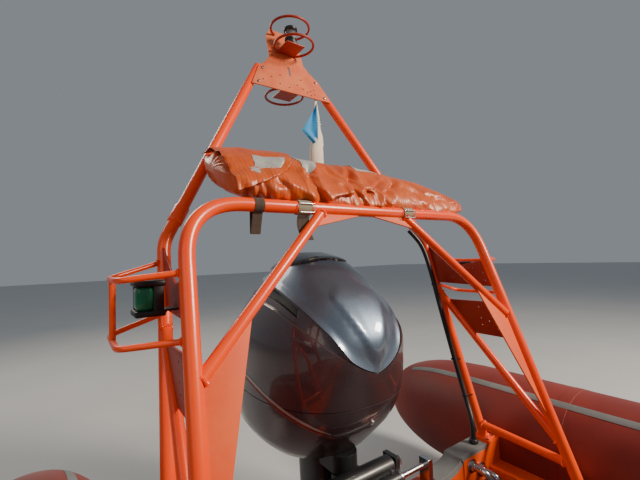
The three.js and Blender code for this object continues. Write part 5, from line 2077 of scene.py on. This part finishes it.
# The hatch's hinges and latches, and the bow post's ends and bolts.
foredeck = {
    "out": 0.13,
    "hingeHalf": 0.03,
    "hingeY": (1.972, 1.992),
    "hingeZ": (0.4305, 0.436),
    "pin": (1.99, 0.447),
    "latch": (2.345, 0.4535),
    "postX": 0.132,
    "postY": 2.62,
    "postZ": 0.58,
    "boltOut": 0.055,
    "boltZ": 0.4415,
}


def buildForedeck():
    dressed("foredeck_hatch", "foredeckHatch", greyGelcoat, "grey_moulding", 0.006)
    dressed("bow_post", "bowPost", stainless, "stainless_steel", 0.002)
    f = foredeck
    (y0, y1), (z0, z1), half = f["hingeY"], f["hingeZ"], f["hingeHalf"]
    bm = bmesh.new()
    for side in sides.values():
        x = f["out"] * side
        addBox(bm, (x - half, y0, z0), (x + half, y1, z1), 0.001)
        addPipe(bm, [(x - half - 0.002, *f["pin"]), (x + half + 0.002, *f["pin"])], 0.010, 16)
        addDrum(bm, (x, *f["latch"]), (0, 0, 1), 0.05, 0.004, 0.001, 32)
        addDrum(bm, (f["postX"] * side, f["postY"], f["postZ"]), (1, 0, 0), 0.042, 0.008, 0.002)
        for dy in (-f["boltOut"], f["boltOut"]):
            bolt = (f["boltOut"] * side, f["postY"] + dy, f["boltZ"])
            addDrum(bm, bolt, (0, 0, 1), 0.018, 0.007, 0.001, 6)
    fit(keep("foredeckFittings", bm, [stainless], 40), "boat", "stainless_steel")


buildConsole()
buildWheel()
buildSeats()
buildForedeck()
print("console, seats and foredeck built")


# A pale floor at the waterline, under soft studio light.
studio = {
    "floor": 40,
    "floorTones": ("#B9BBBC", "#C6C8C8"),
    "sky": 0.31,
    "skyTone": "#DDE6F0",
    "tone": "#FFF0DC",
    "aim": (0, -2.2, 1.0),
    # [place, diameter, power]
    "key": ((-4.2, 2.4, 5.0), 1.8, 880),
    "fill": ((5.0, -0.5, 3.5), 4.0, 42),
    "rim": ((1.5, -8.0, 5.0), 3.0, 150),
}


def buildStudio():
    bm = bmesh.new()
    bmesh.ops.create_grid(bm, x_segments=8, y_segments=8, size=studio["floor"])
    bmesh.ops.translate(bm, verts=bm.verts, vec=(0, 0, waterline))
    material, tree, place = startMaterial("studioFloor")
    mottle = add(tree, "TexNoise", {"Vector": place, "Scale": perMetre(900), "Detail": 4})
    low, high = (colour(tone) for tone in studio["floorTones"])
    base = add(tree, "Mix", {0: mottle.outputs["Fac"], 6: low, 7: high}, data_type="RGBA")
    finishMaterial(tree, {"Base Color": base.outputs[2], "Roughness": 0.7})
    keep("floor", bm, [material])
    world = bpy.data.worlds.new("studio")
    world.use_nodes = True
    background = world.node_tree.nodes["Background"]
    background.inputs["Color"].default_value = colour(studio["skyTone"])
    background.inputs["Strength"].default_value = studio["sky"]
    bpy.context.scene.world = world
    for name in ("key", "fill", "rim"):
        at, size, power = studio[name]
        data = bpy.data.lights.new(name, "AREA")
        data.shape = "DISK"
        data.size = size
        data.energy = power
        data.color = colour(studio["tone"])[:3]
        lamp = bpy.data.objects.new(name, data)
        aim = Vector(studio["aim"]) - Vector(at)
        lamp.matrix_world = Matrix.Translation(at) @ aim.to_track_quat("-Z", "Y").to_matrix().to_4x4()
        bpy.context.scene.collection.objects.link(lamp)


buildStudio()
print("studio lit")
